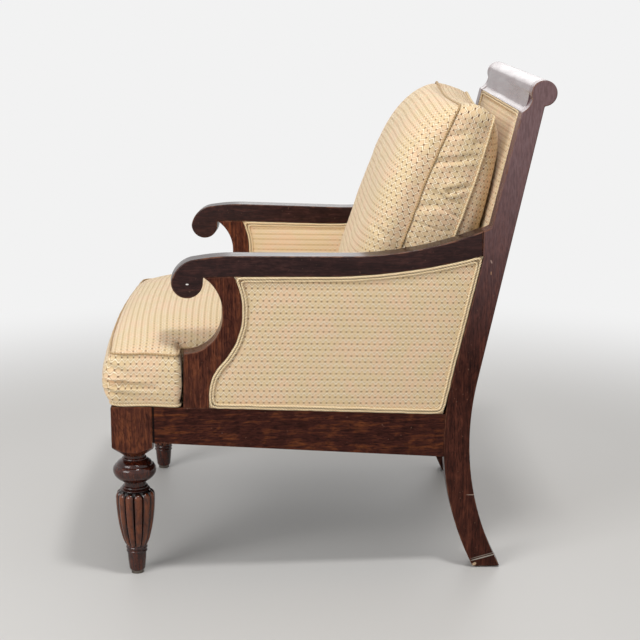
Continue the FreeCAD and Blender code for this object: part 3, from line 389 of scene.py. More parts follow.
def reed_tree(material):
    """Carves half-round reeds with rounded ends into a turned mesh."""
    tree = bpy.data.node_groups.new("carve_reeds", "GeometryNodeTree")
    tree.interface.new_socket("Geometry", in_out="INPUT", socket_type="NodeSocketGeometry")
    for name in ("Count", "Depth", "Low", "High"):
        tree.interface.new_socket(name, in_out="INPUT", socket_type="NodeSocketFloat")
    tree.interface.new_socket("Geometry", in_out="OUTPUT", socket_type="NodeSocketGeometry")
    given = add_node(tree, "NodeGroupInput")
    place = add_node(tree, "GeometryNodeInputPosition")
    x, y, z = add_node(tree, "ShaderNodeSeparateXYZ", {0: place}).outputs
    angle = add_node(tree, "ShaderNodeMath", {0: y, 1: x}, operation="ARCTAN2")
    turns = add_node(tree, "ShaderNodeMath", {0: angle, 1: 2 * math.pi}, operation="DIVIDE")
    reeds = add_node(tree, "ShaderNodeMath", {0: turns, 1: given.outputs["Count"]}, operation="MULTIPLY")
    share = add_node(tree, "ShaderNodeMath", {0: reeds}, operation="FRACT")
    across = add_node(tree, "ShaderNodeMath", {0: share, 1: 2.0, 2: -1.0}, operation="MULTIPLY_ADD")
    tip = add_node(tree, "ShaderNodeMath", {0: given.outputs["High"], 1: reed_tongue}, operation="SUBTRACT")
    over = add_node(tree, "ShaderNodeMath", {0: z, 1: tip}, operation="SUBTRACT")
    over = add_node(tree, "ShaderNodeMath", {0: over, 1: reed_tongue}, operation="DIVIDE")
    over = add_node(tree, "ShaderNodeMath", {0: over, 1: 0.0}, operation="MAXIMUM")
    heel = add_node(tree, "ShaderNodeMath", {
        0: given.outputs["Low"], 1: reed_tongue / 2}, operation="ADD")
    under = add_node(tree, "ShaderNodeMath", {0: heel, 1: z}, operation="SUBTRACT")
    under = add_node(tree, "ShaderNodeMath", {0: under, 1: reed_tongue / 2}, operation="DIVIDE")
    under = add_node(tree, "ShaderNodeMath", {0: under, 1: 0.0}, operation="MAXIMUM")
    away = add_node(tree, "ShaderNodeCombineXYZ", {0: across, 1: over, 2: under})
    square = add_node(tree, "ShaderNodeVectorMath", {
        0: away, 1: away}, operation="DOT_PRODUCT").outputs["Value"]
    left = add_node(tree, "ShaderNodeMath", {0: 1.0, 1: square}, operation="SUBTRACT")
    left = add_node(tree, "ShaderNodeMath", {0: left, 1: 0.0}, operation="MAXIMUM")
    swell = add_node(tree, "ShaderNodeMath", {0: left}, operation="SQRT")
    sunk = add_node(tree, "ShaderNodeMath", {0: 1.0, 1: swell}, operation="SUBTRACT")
    rise = add_node(tree, "ShaderNodeMapRange", {
        0: z, 1: vase_low, 2: vase_low + reed_fade, 3: 0.0, 4: 1.0}, interpolation_type="SMOOTHSTEP")
    fall = add_node(tree, "ShaderNodeMapRange", {
        0: z, 1: vase_high, 2: vase_high + reed_fade, 3: 1.0, 4: 0.0}, interpolation_type="SMOOTHSTEP")
    kept = add_node(tree, "ShaderNodeMath", {0: rise, 1: fall}, operation="MULTIPLY")
    sunk = add_node(tree, "ShaderNodeMath", {0: sunk, 1: kept}, operation="MULTIPLY")
    radius = add_node(tree, "ShaderNodeMapRange", {
        0: z, 1: vase_low, 2: deepest_z, 3: shallow_share, 4: 1.0})
    depth = add_node(tree, "ShaderNodeMath", {0: given.outputs["Depth"], 1: radius}, operation="MULTIPLY")
    cut = add_node(tree, "ShaderNodeMath", {0: sunk, 1: depth}, operation="MULTIPLY")
    flat = add_node(tree, "ShaderNodeCombineXYZ", {0: x, 1: y})
    radial = add_node(tree, "ShaderNodeVectorMath", {0: flat}, operation="NORMALIZE")
    inward = add_node(tree, "ShaderNodeMath", {0: cut, 1: -1.0}, operation="MULTIPLY")
    offset = add_node(tree, "ShaderNodeVectorMath", {0: radial, "Scale": inward}, operation="SCALE")
    carved = add_node(tree, "GeometryNodeSetPosition", {
        "Geometry": given.outputs["Geometry"], "Offset": offset})
    # The reed crowns are stored for a painted highlight in the leg's colour.
    crown = add_node(tree, "ShaderNodeMath", {0: kept, 1: swell}, operation="MULTIPLY")
    reeded = add_node(tree, "GeometryNodeStoreNamedAttribute", {
        "Geometry": carved, "Name": "reed", "Value": crown}, data_type="FLOAT", domain="POINT")
    # The grooves are stored for a near-black mix of glaze and painted shade in the leg's colour.
    marked = add_node(tree, "GeometryNodeStoreNamedAttribute", {
        "Geometry": reeded, "Name": "groove_glaze_and_shade", "Value": sunk}, data_type="FLOAT", domain="POINT")
    real = add_node(tree, "GeometryNodeRealizeInstances", {0: marked})
    painted = add_node(tree, "GeometryNodeSetMaterial", {"Geometry": real, "Material": material})
    add_node(tree, "NodeGroupOutput", {0: painted})
    return tree


def set_sizes(modifier, sizes):
    """Sets a tree's named inputs on its modifier, by each socket's identifier."""
    for socket in modifier.node_group.interface.items_tree:
        if socket.in_out == "INPUT" and socket.name in sizes:
            modifier[socket.identifier] = sizes[socket.name]


carving = reed_tree(leg_wood)
for side, name in ((1, "left"), (-1, "right")):
    eased("front_leg_" + name, 1.6 * mm, upright_wood, neck_top)
    turned = shaded("front_leg_" + name + "_turned", turned_mesh("turned_leg", leg_profile), leg_wood)
    carve = turned.modifiers.new("reeds", "NODES")
    carve.node_group = carving
    set_sizes(carve, {"Count": reed_count, "Depth": reed_depth, "Low": vase_low, "High": vase_high})
    settled(turned)
    turned.data.set_sharp_from_angle(angle=turned_crease)
    for vert in turned.data.vertices:
        vert.co += Vector((side * leg_place[0], leg_place[1], 0))
    put_on(turned, "chair_frame", "mahogany", "front_leg_" + name)

# Rear posts, rails, arms and arm posts: solid mahogany, band-sawn to their outlines from thick boards.
# They meet in glued mortise and tenon joints, which show as fine dark lines.

for name in ("left", "right"):
    eased("rear_post_" + name, 2.0 * mm, post_wood)
    eased("side_rail_" + name, 1.0 * mm, rail_wood)
    eased("arm_" + name, 2.2 * mm, arm_wood)
    eased("arm_post_" + name, 1.6 * mm, upright_wood)
eased("front_rail", 1.0 * mm, cross_wood)
eased("rear_rail", 1.0 * mm, cross_wood)


def finish(node, material):
    """Gives a plain node that keeps its shape its finish."""
    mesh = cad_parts[node].data
    mesh.materials.clear()
    mesh.materials.append(material)


finish("arm_screw_plugs", rail_wood)

# Crest rail: one mahogany board between the posts, planed and scraped to a roll over a hollowed face.
# Its top faces the light and shows the lacquer's grey sheen, which is partly painted into its colour.

crest_low, crest_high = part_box("crest_rail")
roll_middle = (389 * mm, 891 * mm)
roll_radius = 23 * mm
roll_start = math.radians(176)
roll_end = math.radians(-84)
roll_steps = 40
board_step = 24 * mm

# In millimetres: step along the curves, and depth and height up the hollow face and down the back
outline_step = 2.0
face_run = [
    (350.0, 858.0), (354.8, 859.6), (358.6, 862.6), (361.6, 868.0), (363.8, 876.0), (365.3, 884.0),
    (366.0, 890.0)]
rear_run = [(390.6, 868.5), (389.4, 864.5), (388.0, 858.0)]


def crest_outline():
    """Side outline of the board above the back's panels, without a break from its face to its roll."""
    angles = np.linspace(roll_start, roll_end, roll_steps)
    around = np.array(roll_middle) + roll_radius * np.column_stack([np.cos(angles), np.sin(angles)])
    front = smooth_run(face_run, outline_step) * mm
    rear = smooth_run(rear_run, outline_step) * mm
    return np.vstack([front, around, rear])


def swept_board(name, outline, low, high):
    """Closed board of one outline along X."""
    stops = np.linspace(low, high, max(2, round((high - low) / board_step) + 1))
    mesh = capped_tube(name, [(x, y, z) for x in stops for y, z in outline], len(outline))
    form = bmesh.new()
    form.from_mesh(mesh)
    bmesh.ops.recalc_face_normals(form, faces=form.faces)
    return closed(form, name)


crest_board = swept_board("crest_roll", crest_outline(), crest_low[0], crest_high[0])
put_on(shaded("crest_rail_roll", crest_board, crest_wood), "chair_frame", "mahogany", "crest_rail")

# Seat frame inside: beech corner blocks, a beech lower back rail, hexagonal lag screws and nail-on glides.
# The blocks are glued and screwed behind the rails, and only their undersides show from below.

beech_ring = 7 * mm
ring_stretch_share = 0.12
fleck_length = metre / 180
fleck_width = metre / 900
fleck_depth = 0.2 * mm
drawing_mark = metre / 700


def beech():
    """Bare sawn beech: pale pink-brown with short darker flecks and a matt face."""
    material, tree, shader = start_material("sawn_beech")
    place = add_node(tree, "ShaderNodeTexCoord").outputs["Object"]
    ring_place = add_node(tree, "ShaderNodeMapping", {
        "Vector": place, "Scale": (ring_stretch_share / beech_ring, 1 / beech_ring, 1 / beech_ring)})
    ring = add_node(tree, "ShaderNodeTexNoise", {"Vector": ring_place, "Scale": 1.0, "Detail": 4.0})
    fleck_place = add_node(tree, "ShaderNodeMapping", {
        "Vector": place, "Scale": (1 / fleck_length, 1 / fleck_width, 1 / fleck_width)})
    fleck = add_node(tree, "ShaderNodeTexNoise", {"Vector": fleck_place, "Scale": 1.0})
    ramp = add_node(tree, "ShaderNodeValToRGB", {0: ring})
    for element, place_share, colour in zip(ramp.color_ramp.elements, (0.3, 0.7), ("#B78A5E", "#D9B388")):
        element.position = place_share
        element.color = srgb(colour)
    marks = add_node(tree, "ShaderNodeMapRange", {0: fleck, 1: 0.62, 2: 0.7, 3: 0.0, 4: 0.5})
    colour = add_node(tree, "ShaderNodeMix", {0: marks, 6: ramp, 7: srgb("#8F633C")}, data_type="RGBA")
    bump = add_node(tree, "ShaderNodeBump", {"Height": fleck, "Strength": 0.2, "Distance": fleck_depth})
    set_inputs(tree, shader, {"Base Color": colour.outputs[2], "Normal": bump, "Roughness": 0.68})
    return material


def steel(name, colour, rough):
    """Plated or nickelled steel: a dull metal gleam with faint drawing marks."""
    material, tree, shader = start_material(name)
    place = add_node(tree, "ShaderNodeTexCoord").outputs["Object"]
    mark = add_node(tree, "ShaderNodeTexNoise", {"Vector": place, "Scale": 1 / drawing_mark, "Detail": 3.0})
    gloss = add_node(tree, "ShaderNodeMapRange", {0: mark, 1: 0.3, 2: 0.7, 3: rough - 0.08, 4: rough + 0.12})
    tint = add_node(tree, "ShaderNodeMapRange", {0: mark, 1: 0.3, 2: 0.7, 3: 0.75, 4: 1.0})
    shade = add_node(tree, "ShaderNodeMix", {0: tint, 6: srgb("#6E6C68"), 7: srgb(colour)}, data_type="RGBA")
    set_inputs(tree, shader, {"Base Color": shade.outputs[2], "Roughness": gloss, "Metallic": 1.0})
    return material


bare_beech = beech()
plated_steel = steel("zinc_plated_steel", "#C9C4B8", 0.34)
glide_steel = steel("nickelled_glide_steel", "#6E665E", 0.35)
finish("corner_blocks", bare_beech)
finish("lower_back_rail", bare_beech)
finish("corner_block_screws", plated_steel)
finish("arm_screws", plated_steel)
finish("floor_glides", glide_steel)

# Seat deck and linings: jute webbing tacked under the rebate, hessian, a cotton felt pad and a linen top.
# Black cambric, stapled under the rails, closes the frame from below.

lining_step = 22 * mm


def cut_in_squares(form, low, high, spacing, within=0.0):
    """Cuts a form along a square grid of upright planes."""
    for axis in (0, 1):
        for step in range(math.ceil(low[axis] / spacing), math.floor(high[axis] / spacing) + 1):
            spot = Vector((0, 0, 0))
            spot[axis] = step * spacing
            ahead = Vector((0, 0, 0))
            ahead[axis] = 1
            everything = form.verts[:] + form.edges[:] + form.faces[:]
            bmesh.ops.bisect_plane(form, geom=everything, dist=within, plane_co=spot, plane_no=ahead)


def cloth_from(node, wander, wave):
    """Copy of a thin node, cut into a grid and pushed up and down a little."""
    form = opened(node)
    bmesh.ops.dissolve_limit(form, angle_limit=flat_turn, verts=form.verts, edges=form.edges)
    low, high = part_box(node)
    cut_in_squares(form, low, high, lining_step)
    bmesh.ops.triangulate(form, faces=[face for face in form.faces if len(face.verts) > 4])
    for vert in form.verts:
        vert.co.z += wander * noise.noise(Vector((vert.co.x, vert.co.y, 0)) / wave)
    return closed(form, node)


def plain_weave(name, warp, weft, thread, rough, stripe=None):
    """Plain weave of two yarns, over and under at a real thread spacing: a matt, slightly slubby cloth."""
    material, tree, shader = start_material(name)
    place = add_node(tree, "ShaderNodeTexCoord").outputs["Object"]
    split = add_node(tree, "ShaderNodeSeparateXYZ", {0: place})
    waves = []
    for axis in (0, 1):
        angle = add_node(tree, "ShaderNodeMath", {
            0: split.outputs[axis], 1: math.pi / thread}, operation="MULTIPLY")
        waves.append(add_node(tree, "ShaderNodeMath", {0: angle}, operation="SINE"))
    over = add_node(tree, "ShaderNodeMath", {0: waves[0], 1: waves[1]}, operation="MULTIPLY")
    pick = add_node(tree, "ShaderNodeMapRange", {0: over, 1: -0.4, 2: 0.4})
    slub = add_node(tree, "ShaderNodeTexNoise", {"Vector": place, "Scale": 0.25 / thread, "Detail": 4.0})
    yarn = add_node(tree, "ShaderNodeMix", {0: pick, 6: srgb(warp), 7: srgb(weft)}, data_type="RGBA")
    shade = add_node(tree, "ShaderNodeMapRange", {0: slub, 1: 0.3, 2: 0.75, 3: 0.0, 4: 0.35})
    colour = add_node(tree, "ShaderNodeMix", {
        0: shade, 6: yarn.outputs[2], 7: srgb(stripe or warp)}, data_type="RGBA")
    bump = add_node(tree, "ShaderNodeBump", {"Height": over, "Strength": 0.5, "Distance": 0.3 * thread})
    set_inputs(tree, shader, {
        "Base Color": colour.outputs[2], "Normal": bump, "Roughness": rough, "Sheen Weight": 0.15})
    return material


jute = plain_weave("jute_webbing_weave", "#A98A5C", "#C9AE7E", 2.4 * mm, 0.9, "#7C5F3B")
hessian = plain_weave("hessian_weave", "#9C7F55", "#BFA274", 3.0 * mm, 0.92)
felt = plain_weave("cotton_felt", "#D9D2C2", "#CFC6B3", 5.0 * mm, 0.95)
linen = plain_weave("linen_platform_cloth", "#D2C29E", "#E2D5B6", 1.8 * mm, 0.88)
cambric = plain_weave("black_cambric", "#17171A", "#232327", 1.8 * mm, 0.85)

# Node, weave, slot, how far the cloth wanders up and down, and over what length
layers = [
    ("seat_webbing_long", jute, "jute_webbing", 0.8 * mm, 60 * mm),
    ("seat_webbing_cross", jute, "jute_webbing", 0.0, 60 * mm),
    ("back_webbing", jute, "jute_webbing", 0.0, 60 * mm),
    ("seat_hessian", hessian, "hessian", 0.0, 60 * mm),
    ("deck_pad", felt, "cotton_felt", 0.0, 60 * mm),
    ("deck_cover", linen, "platform_cloth", 1.6 * mm, 90 * mm),
    ("dust_cover", cambric, "black_cambric", 2.0 * mm, 110 * mm)]
for node, material, slot, wander, wave in layers:
    lining = shaded(node + "_cloth", cloth_from(node, wander, wave), material)
    put_on(lining, "chair_frame", slot, node)

# Upholstered panels: patterned cloth pulled over a thin pad and tacked in the openings of the frame.
# A double welt, two cords sewn side by side in the same cloth, is glued over the tacks.

dot_across = 10.5 * mm
dot_down = 11.2 * mm
dot_radius = 1.25 * mm
dot_level = 1.7 * mm
peak = 6.4 * mm
mottle_patch = metre / 65
blush_patch = metre / 22
spatter = metre / 700
yarn = metre / 900
yarn_depth = 0.35 * mm

# Height in the repeat, thickness, strength and yarn of each chevron line, in the order they are laid
chevrons = [
    (1.9 * mm, 1.3 * mm, 0.5, "tan"),
    (7.8 * mm, 1.2 * mm, 0.5, "pale"),
    (5.9 * mm, 1.5 * mm, 0.7, "tan"),
    (3.9 * mm, 1.7 * mm, 1.0, "pale")]
welt_twist = 5.5 * mm
welt_soft_patch = metre / 150
welt_depth = 0.45 * mm


def patterned_cloth(name, base, pale, tan, dot):
    """Woven upholstery cloth: staggered brown dots in the troughs of fine chevrons, a little mottled.

    The weave's finest lines would be lost in a render, so they are drawn as four broader chevrons.
    """
    material, tree, shader = start_material(name)
    place = add_node(tree, "ShaderNodeUVMap", uv_map="cloth")
    split = add_node(tree, "ShaderNodeSeparateXYZ", {0: place})
    rows = add_node(tree, "ShaderNodeMath", {0: split.outputs[1], 1: dot_down}, operation="DIVIDE")
    row = add_node(tree, "ShaderNodeMath", {0: rows}, operation="FLOOR")
    up = add_node(tree, "ShaderNodeMath", {0: rows, 1: row}, operation="SUBTRACT")
    up = add_node(tree, "ShaderNodeMath", {0: up, 1: dot_down}, operation="MULTIPLY")
    shift = add_node(tree, "ShaderNodeMath", {0: row, 1: 0.5}, operation="MULTIPLY")
    across = add_node(tree, "ShaderNodeMath", {
        0: split.outputs[0], 1: 1 / dot_across, 2: shift}, operation="MULTIPLY_ADD")
    across = add_node(tree, "ShaderNodeMath", {0: across}, operation="FRACT")
    across = add_node(tree, "ShaderNodeMath", {0: across, 1: 0.5}, operation="SUBTRACT")
    across = add_node(tree, "ShaderNodeMath", {0: across}, operation="ABSOLUTE")
    climb = add_node(tree, "ShaderNodeMath", {0: across, 1: 2 * peak}, operation="MULTIPLY")
    level = add_node(tree, "ShaderNodeMath", {0: up, 1: climb}, operation="SUBTRACT")
    side = add_node(tree, "ShaderNodeMath", {0: across, 1: 1.1 * dot_across}, operation="MULTIPLY")
    rise = add_node(tree, "ShaderNodeMath", {0: up, 1: dot_level}, operation="SUBTRACT")
    rise = add_node(tree, "ShaderNodeMath", {0: rise, 1: 0.8}, operation="MULTIPLY")
    reach = add_node(tree, "ShaderNodeCombineXYZ", {0: side, 1: rise})
    reach = add_node(tree, "ShaderNodeVectorMath", {0: reach}, operation="LENGTH").outputs["Value"]
    spot = add_node(tree, "ShaderNodeMapRange", {
        0: reach, 1: 0.85 * dot_radius, 2: 1.15 * dot_radius, 3: 1.0, 4: 0.0})
    uneven = add_node(tree, "ShaderNodeTexNoise", {
        "Vector": place, "Scale": 1 / mottle_patch, "Detail": 3.0})
    uneven = add_node(tree, "ShaderNodeMapRange", {0: uneven, 1: 0.36, 2: 0.64, 3: 0.45, 4: 1.15})
    blush = add_node(tree, "ShaderNodeTexNoise", {"Vector": place, "Scale": 1 / blush_patch, "Detail": 3.0})
    blush = add_node(tree, "ShaderNodeMapRange", {0: blush, 1: 0.44, 2: 0.60, 3: 0.0, 4: 0.8})
    shade = add_node(tree, "ShaderNodeTexNoise", {"Vector": place, "Scale": 1 / spatter, "Detail": 2.0})
    shade = add_node(tree, "ShaderNodeMapRange", {0: shade, 1: 0.35, 2: 0.65, 3: 0.0, 4: 0.5})
    layers = [(blush, "#E8C2A2"), (shade, "#CDB586")]
    for height, thick, strength, colour in chevrons:
        away = add_node(tree, "ShaderNodeMath", {0: level, 1: height}, operation="SUBTRACT")
        away = add_node(tree, "ShaderNodeMath", {0: away}, operation="ABSOLUTE")
        line = add_node(tree, "ShaderNodeMapRange", {
            0: away, 1: 0.35 * thick, 2: 0.65 * thick, 3: 1.0, 4: 0.0})
        part = add_node(tree, "ShaderNodeMath", {0: line, 1: strength}, operation="MULTIPLY")
        part = add_node(tree, "ShaderNodeMath", {0: part, 1: uneven}, operation="MULTIPLY")
        layers.append((part, {"pale": pale, "tan": tan}[colour]))
    layers.append((spot, dot))
    last = srgb(base)
    for share, colour in layers:
        mixed = add_node(tree, "ShaderNodeMix", {0: share, 6: last, 7: srgb(colour)}, data_type="RGBA")
        last = mixed.outputs[2]
    thread = add_node(tree, "ShaderNodeTexNoise", {"Vector": place, "Scale": 1 / yarn, "Detail": 2.0})
    raised = add_node(tree, "ShaderNodeMath", {0: line, 1: thread}, operation="ADD")
    raised = add_node(tree, "ShaderNodeMath", {0: raised, 1: spot}, operation="SUBTRACT")
    bump = add_node(tree, "ShaderNodeBump", {"Height": raised, "Strength": 0.35, "Distance": yarn_depth})
    set_inputs(tree, shader, {
        "Base Color": last, "Normal": bump, "Roughness": 0.82, "Sheen Weight": 0.12,
        "Sheen Roughness": 0.45, "Specular IOR Level": 0.35})
    return material


def cord_cloth(name, base, pale, seam_shade_colour):
    """Bias-cut strip of the same cloth round a cord: slanting threads, with painted shade and dashes of
    stitching where the seam is sewn.
    """
    material, tree, shader = start_material(name)
    place = add_node(tree, "ShaderNodeUVMap", uv_map="cloth")
    split = add_node(tree, "ShaderNodeSeparateXYZ", {0: place})
    slant = add_node(tree, "ShaderNodeMath", {0: split.outputs[0], 1: split.outputs[1]}, operation="ADD")
    slant = add_node(tree, "ShaderNodeMath", {0: slant, 1: 2 * math.pi / welt_twist}, operation="MULTIPLY")
    wave = add_node(tree, "ShaderNodeMath", {0: slant}, operation="SINE")
    ribs = add_node(tree, "ShaderNodeMapRange", {0: wave, 1: -0.6, 2: 0.9, 3: 0.0, 4: 0.85})
    soft = add_node(tree, "ShaderNodeTexNoise", {
        "Vector": place, "Scale": 1 / welt_soft_patch, "Detail": 3.0})
    uneven = add_node(tree, "ShaderNodeMapRange", {0: soft, 1: 0.35, 2: 0.65, 3: 0.45, 4: 1.1})
    ribs = add_node(tree, "ShaderNodeMath", {0: ribs, 1: uneven}, operation="MULTIPLY")
    tone = add_node(tree, "ShaderNodeMix", {0: ribs, 6: srgb(base), 7: srgb(pale)}, data_type="RGBA")
    # Painted shade along the sewn seam, in dashes that also stand for the brown stitching.
    marks_and_painted_light = add_node(tree, "ShaderNodeAttribute", attribute_name="seam_shade").outputs["Fac"]
    stitch = add_node(tree, "ShaderNodeMapRange", {0: wave, 1: -0.7, 2: 0.5, 3: 1.0, 4: 0.55})
    seam_shade_mix = add_node(tree, "ShaderNodeMapRange", {0: soft, 1: 0.3, 2: 0.6, 3: 0.7, 4: 1.0})
    seam_shade_mix = add_node(tree, "ShaderNodeMath", {0: seam_shade_mix, 1: stitch}, operation="MULTIPLY")
    seam_shade_mix = add_node(tree, "ShaderNodeMath", {0: seam_shade_mix, 1: marks_and_painted_light}, operation="MULTIPLY")
    colour = add_node(tree, "ShaderNodeMix", {
        0: seam_shade_mix, 6: tone.outputs[2], 7: srgb(seam_shade_colour)}, data_type="RGBA")
    bump = add_node(tree, "ShaderNodeBump", {"Height": wave, "Strength": 0.6, "Distance": welt_depth})
    set_inputs(tree, shader, {
        "Base Color": colour.outputs[2], "Normal": bump, "Roughness": 0.8, "Sheen Weight": 0.12})
    return material


cover_cloth = patterned_cloth("chevron_and_dot_cloth", "#DEC49B", "#FFF6DC", "#8B6338", "#4E1A02")
welt_cloth = cord_cloth("bias_cut_welt_cloth", "#CDB084", "#FFF0CC", "#4E2C14")

fabric_step = 8 * mm
inset_step = 2 * mm
welt_step = 3 * mm
raster_step = 9 * mm
corner_turn = math.radians(26)
inset_easing = 22
inset_keep_share = 0.985
puff_rounds = 900
cord_sides = 10
cord_crease = 80
cover_crease = 48
seam_shade_reach = 1.15
facing_share = 0.9
flat_share = 0.9995
flat_within = 0.1 * mm


def lengths_along(points):
    """Length along a line at each of its points."""
    return np.concatenate([[0], np.cumsum(np.linalg.norm(np.diff(points, axis=0), axis=1))])


def outward(line):
    """Direction away from a closed line at each of its points."""
    tangent = np.roll(line, -1, axis=0) - np.roll(line, 1, axis=0)
    tangent /= np.linalg.norm(tangent, axis=1)[:, None]
    return np.stack([tangent[:, 1], -tangent[:, 0]], axis=1)


def even_loop(points, spacing):
    """Closed line through points at an even spacing, smooth but for its corners."""
    points = np.array(points, float)
    ahead = np.roll(points, -1, axis=0) - points
    behind = points - np.roll(points, 1, axis=0)
    cross = behind[:, 0] * ahead[:, 1] - behind[:, 1] * ahead[:, 0]
    turn = np.abs(np.arctan2(cross, (behind * ahead).sum(axis=1)))
    corners = np.nonzero(turn > corner_turn)[0]
    found = []
    for start, end in zip(corners, np.append(corners[1:], corners[0] + len(points))):
        run = points[np.arange(start, end + 1) % len(points)]
        fine = smooth_run(run, spacing / 4)
        along = lengths_along(fine)
        count = max(1, round(along[-1] / spacing))
        stops = np.linspace(0, along[-1], count + 1)[:-1]
        found.append(np.stack([np.interp(stops, along, fine[:, axis]) for axis in (0, 1)], axis=1))
    return np.vstack(found)


def plain_loop(points, spacing):
    """Closed line at an even spacing, corners and all."""
    closed_line = np.vstack([points, points[:1]])
    along = lengths_along(closed_line)
    stops = np.linspace(0, along[-1], round(along[-1] / spacing) + 1)[:-1]
    return np.stack([np.interp(stops, along, closed_line[:, axis]) for axis in (0, 1)], axis=1)


def rim_distance(spots, loop):
    """Distance of each spot to a closed line, and how far along it the nearest place is."""
    ends = np.roll(loop, -1, axis=0)
    edge = ends - loop
    length = np.linalg.norm(edge, axis=1)
    start = np.concatenate([[0], np.cumsum(length)[:-1]])
    best = np.full(len(spots), np.inf)
    along = np.zeros(len(spots))
    for near, vector, size, begin in zip(loop, edge, length, start):
        share = np.clip(((spots - near) @ vector) / size ** 2, 0, 1)
        away = np.linalg.norm(spots - near - share[:, None] * vector, axis=1)
        closer = away < best
        best[closer] = away[closer]
        along[closer] = begin + share[closer] * size
    return best, along


def inside(spots, loop):
    """Whether each spot lies inside a closed line."""
    ends = np.roll(loop, -1, axis=0)
    within = np.zeros(len(spots), bool)
    for near, far in zip(loop, ends):
        if near[1] != far[1]:
            between = (near[1] > spots[:, 1]) != (far[1] > spots[:, 1])
            crossing = near[0] + (spots[:, 1] - near[1]) / (far[1] - near[1]) * (far[0] - near[0])
            within ^= between & (spots[:, 0] < crossing)
    return within


def inset(loop, distance):
    """Closed line moved inward, with its corners rounded a little."""
    loop = even_loop(loop, inset_step)
    moved = loop - outward(loop) * distance
    away, _ = rim_distance(moved, loop)
    moved = moved[away > distance * inset_keep_share]
    for _ in range(inset_easing):
        moved = (np.roll(moved, 1, axis=0) + 2 * moved + np.roll(moved, -1, axis=0)) / 4
    return plain_loop(moved, welt_step)


def puffed(loop):
    """How far a sheet held at its rim rises under even pressure, as shares 0 to 1 on a raster."""
    low = loop.min(axis=0) - 2 * raster_step
    count = np.ceil((loop.max(axis=0) + 2 * raster_step - low) / raster_step).astype(int) + 1
    lines = [low[axis] + raster_step * np.arange(count[axis]) for axis in (0, 1)]
    grid = np.stack(np.meshgrid(*lines, indexing="ij"), axis=-1)
    free = inside(grid.reshape(-1, 2), loop).reshape(count)
    rise = np.zeros(count)
    for _ in range(puff_rounds):
        around = np.zeros(count)
        around[1:-1, 1:-1] = rise[2:, 1:-1] + rise[:-2, 1:-1] + rise[1:-1, 2:] + rise[1:-1, :-2]
        rise = np.where(free, around / 4 + 1, 0)
    return low, rise / rise.max()


def risen(spots, raster):
    """Share that the raster gives at each spot, and 0 beyond it."""
    low, rise = raster
    place = np.clip((spots - low) / raster_step, 0, np.array(rise.shape) - 1.001)
    cell = np.floor(place).astype(int)
    part = place - cell
    total = np.zeros(len(spots))
    for across in (0, 1):
        for down in (0, 1):
            weight = np.abs(1 - across - part[:, 0]) * np.abs(1 - down - part[:, 1])
            total += weight * rise[cell[:, 0] + across, cell[:, 1] + down]
    return total


def grid_sheet(loop, spacing):
    """Flat sheet within a closed line: its points, its faces and the order of its rim."""
    form = bmesh.new()
    form.faces.new([form.verts.new((u, v, 0)) for u, v in loop])
    cut_in_squares(form, loop.min(axis=0), loop.max(axis=0), spacing, 0.01 * mm)
    form.verts.index_update()
    points = np.array([vert.co[:2] for vert in form.verts])
    faces = [[vert.index for vert in face.verts] for face in form.faces]
    rim_next = {}
    for edge in form.edges:
        if edge.is_boundary:
            corner = edge.link_loops[0]
            rim_next[corner.vert.index] = corner.link_loop_next.vert.index
    form.free()
    start, here = rim_next.popitem()
    rim = [start]
    while here != start:
        rim.append(here)
        here = rim_next.pop(here)
    return points, faces, rim


def build_mesh(name, points, faces, face_maps, seam_shade=None):
    """Mesh with a cloth map of real lengths, and how much painted seam shade each point gets."""
    mesh = bpy.data.meshes.new(name)
    mesh.from_pydata([tuple(point) for point in points], [], [tuple(face) for face in faces])
    layer = mesh.uv_layers.new(name="cloth")
    flat = np.concatenate([np.asarray(part, float).reshape(-1, 2) for part in face_maps])
    layer.data.foreach_set("uv", flat.ravel())
    if seam_shade is not None:
        mesh.attributes.new("seam_shade", "FLOAT", "POINT").data.foreach_set("value", np.asarray(seam_shade, float))
    return mesh


def cord(name, paths, sides, ups, radius, seam_angles):
    """Closed cords along lines, with side and up directions for each point of each line."""
    points = []
    faces = []
    maps = []
    seam_shade = []
    angles = np.arange(cord_sides) * 2 * math.pi / cord_sides
    for path, side, up, seam in zip(paths, sides, ups, seam_angles):
        base = len(points)
        along = lengths_along(np.vstack([path, path[:1]]))
        for centre, out, high in zip(path, side, up):
            for angle in angles:
                points.append(centre + radius * (math.cos(angle) * out + math.sin(angle) * high))
                # Painted shade: the colour darkens towards the cord's own seam.
                off = abs((angle - seam + math.pi) % (2 * math.pi) - math.pi)
                seam_shade.append(max(0.0, 1 - off / seam_shade_reach))
        flip = np.dot(np.cross(side[0], up[0]), path[1] - path[0]) < 0
        for here in range(len(path)):
            there = (here + 1) % len(path)
            start, end = along[here], along[here + 1]
            for spot in range(cord_sides):
                after = (spot + 1) % cord_sides
                ring = [base + here * cord_sides + spot, base + here * cord_sides + after,
                        base + there * cord_sides + after, base + there * cord_sides + spot]
                near = spot * 2 * math.pi / cord_sides * radius
                far = (spot + 1) * 2 * math.pi / cord_sides * radius
                uv = [(start, near), (start, far), (end, far), (end, near)]
                if flip:
                    ring.reverse()
                    uv.reverse()
                faces.append(ring)
                maps.append(uv)
    return build_mesh(name, points, faces, maps, seam_shade)


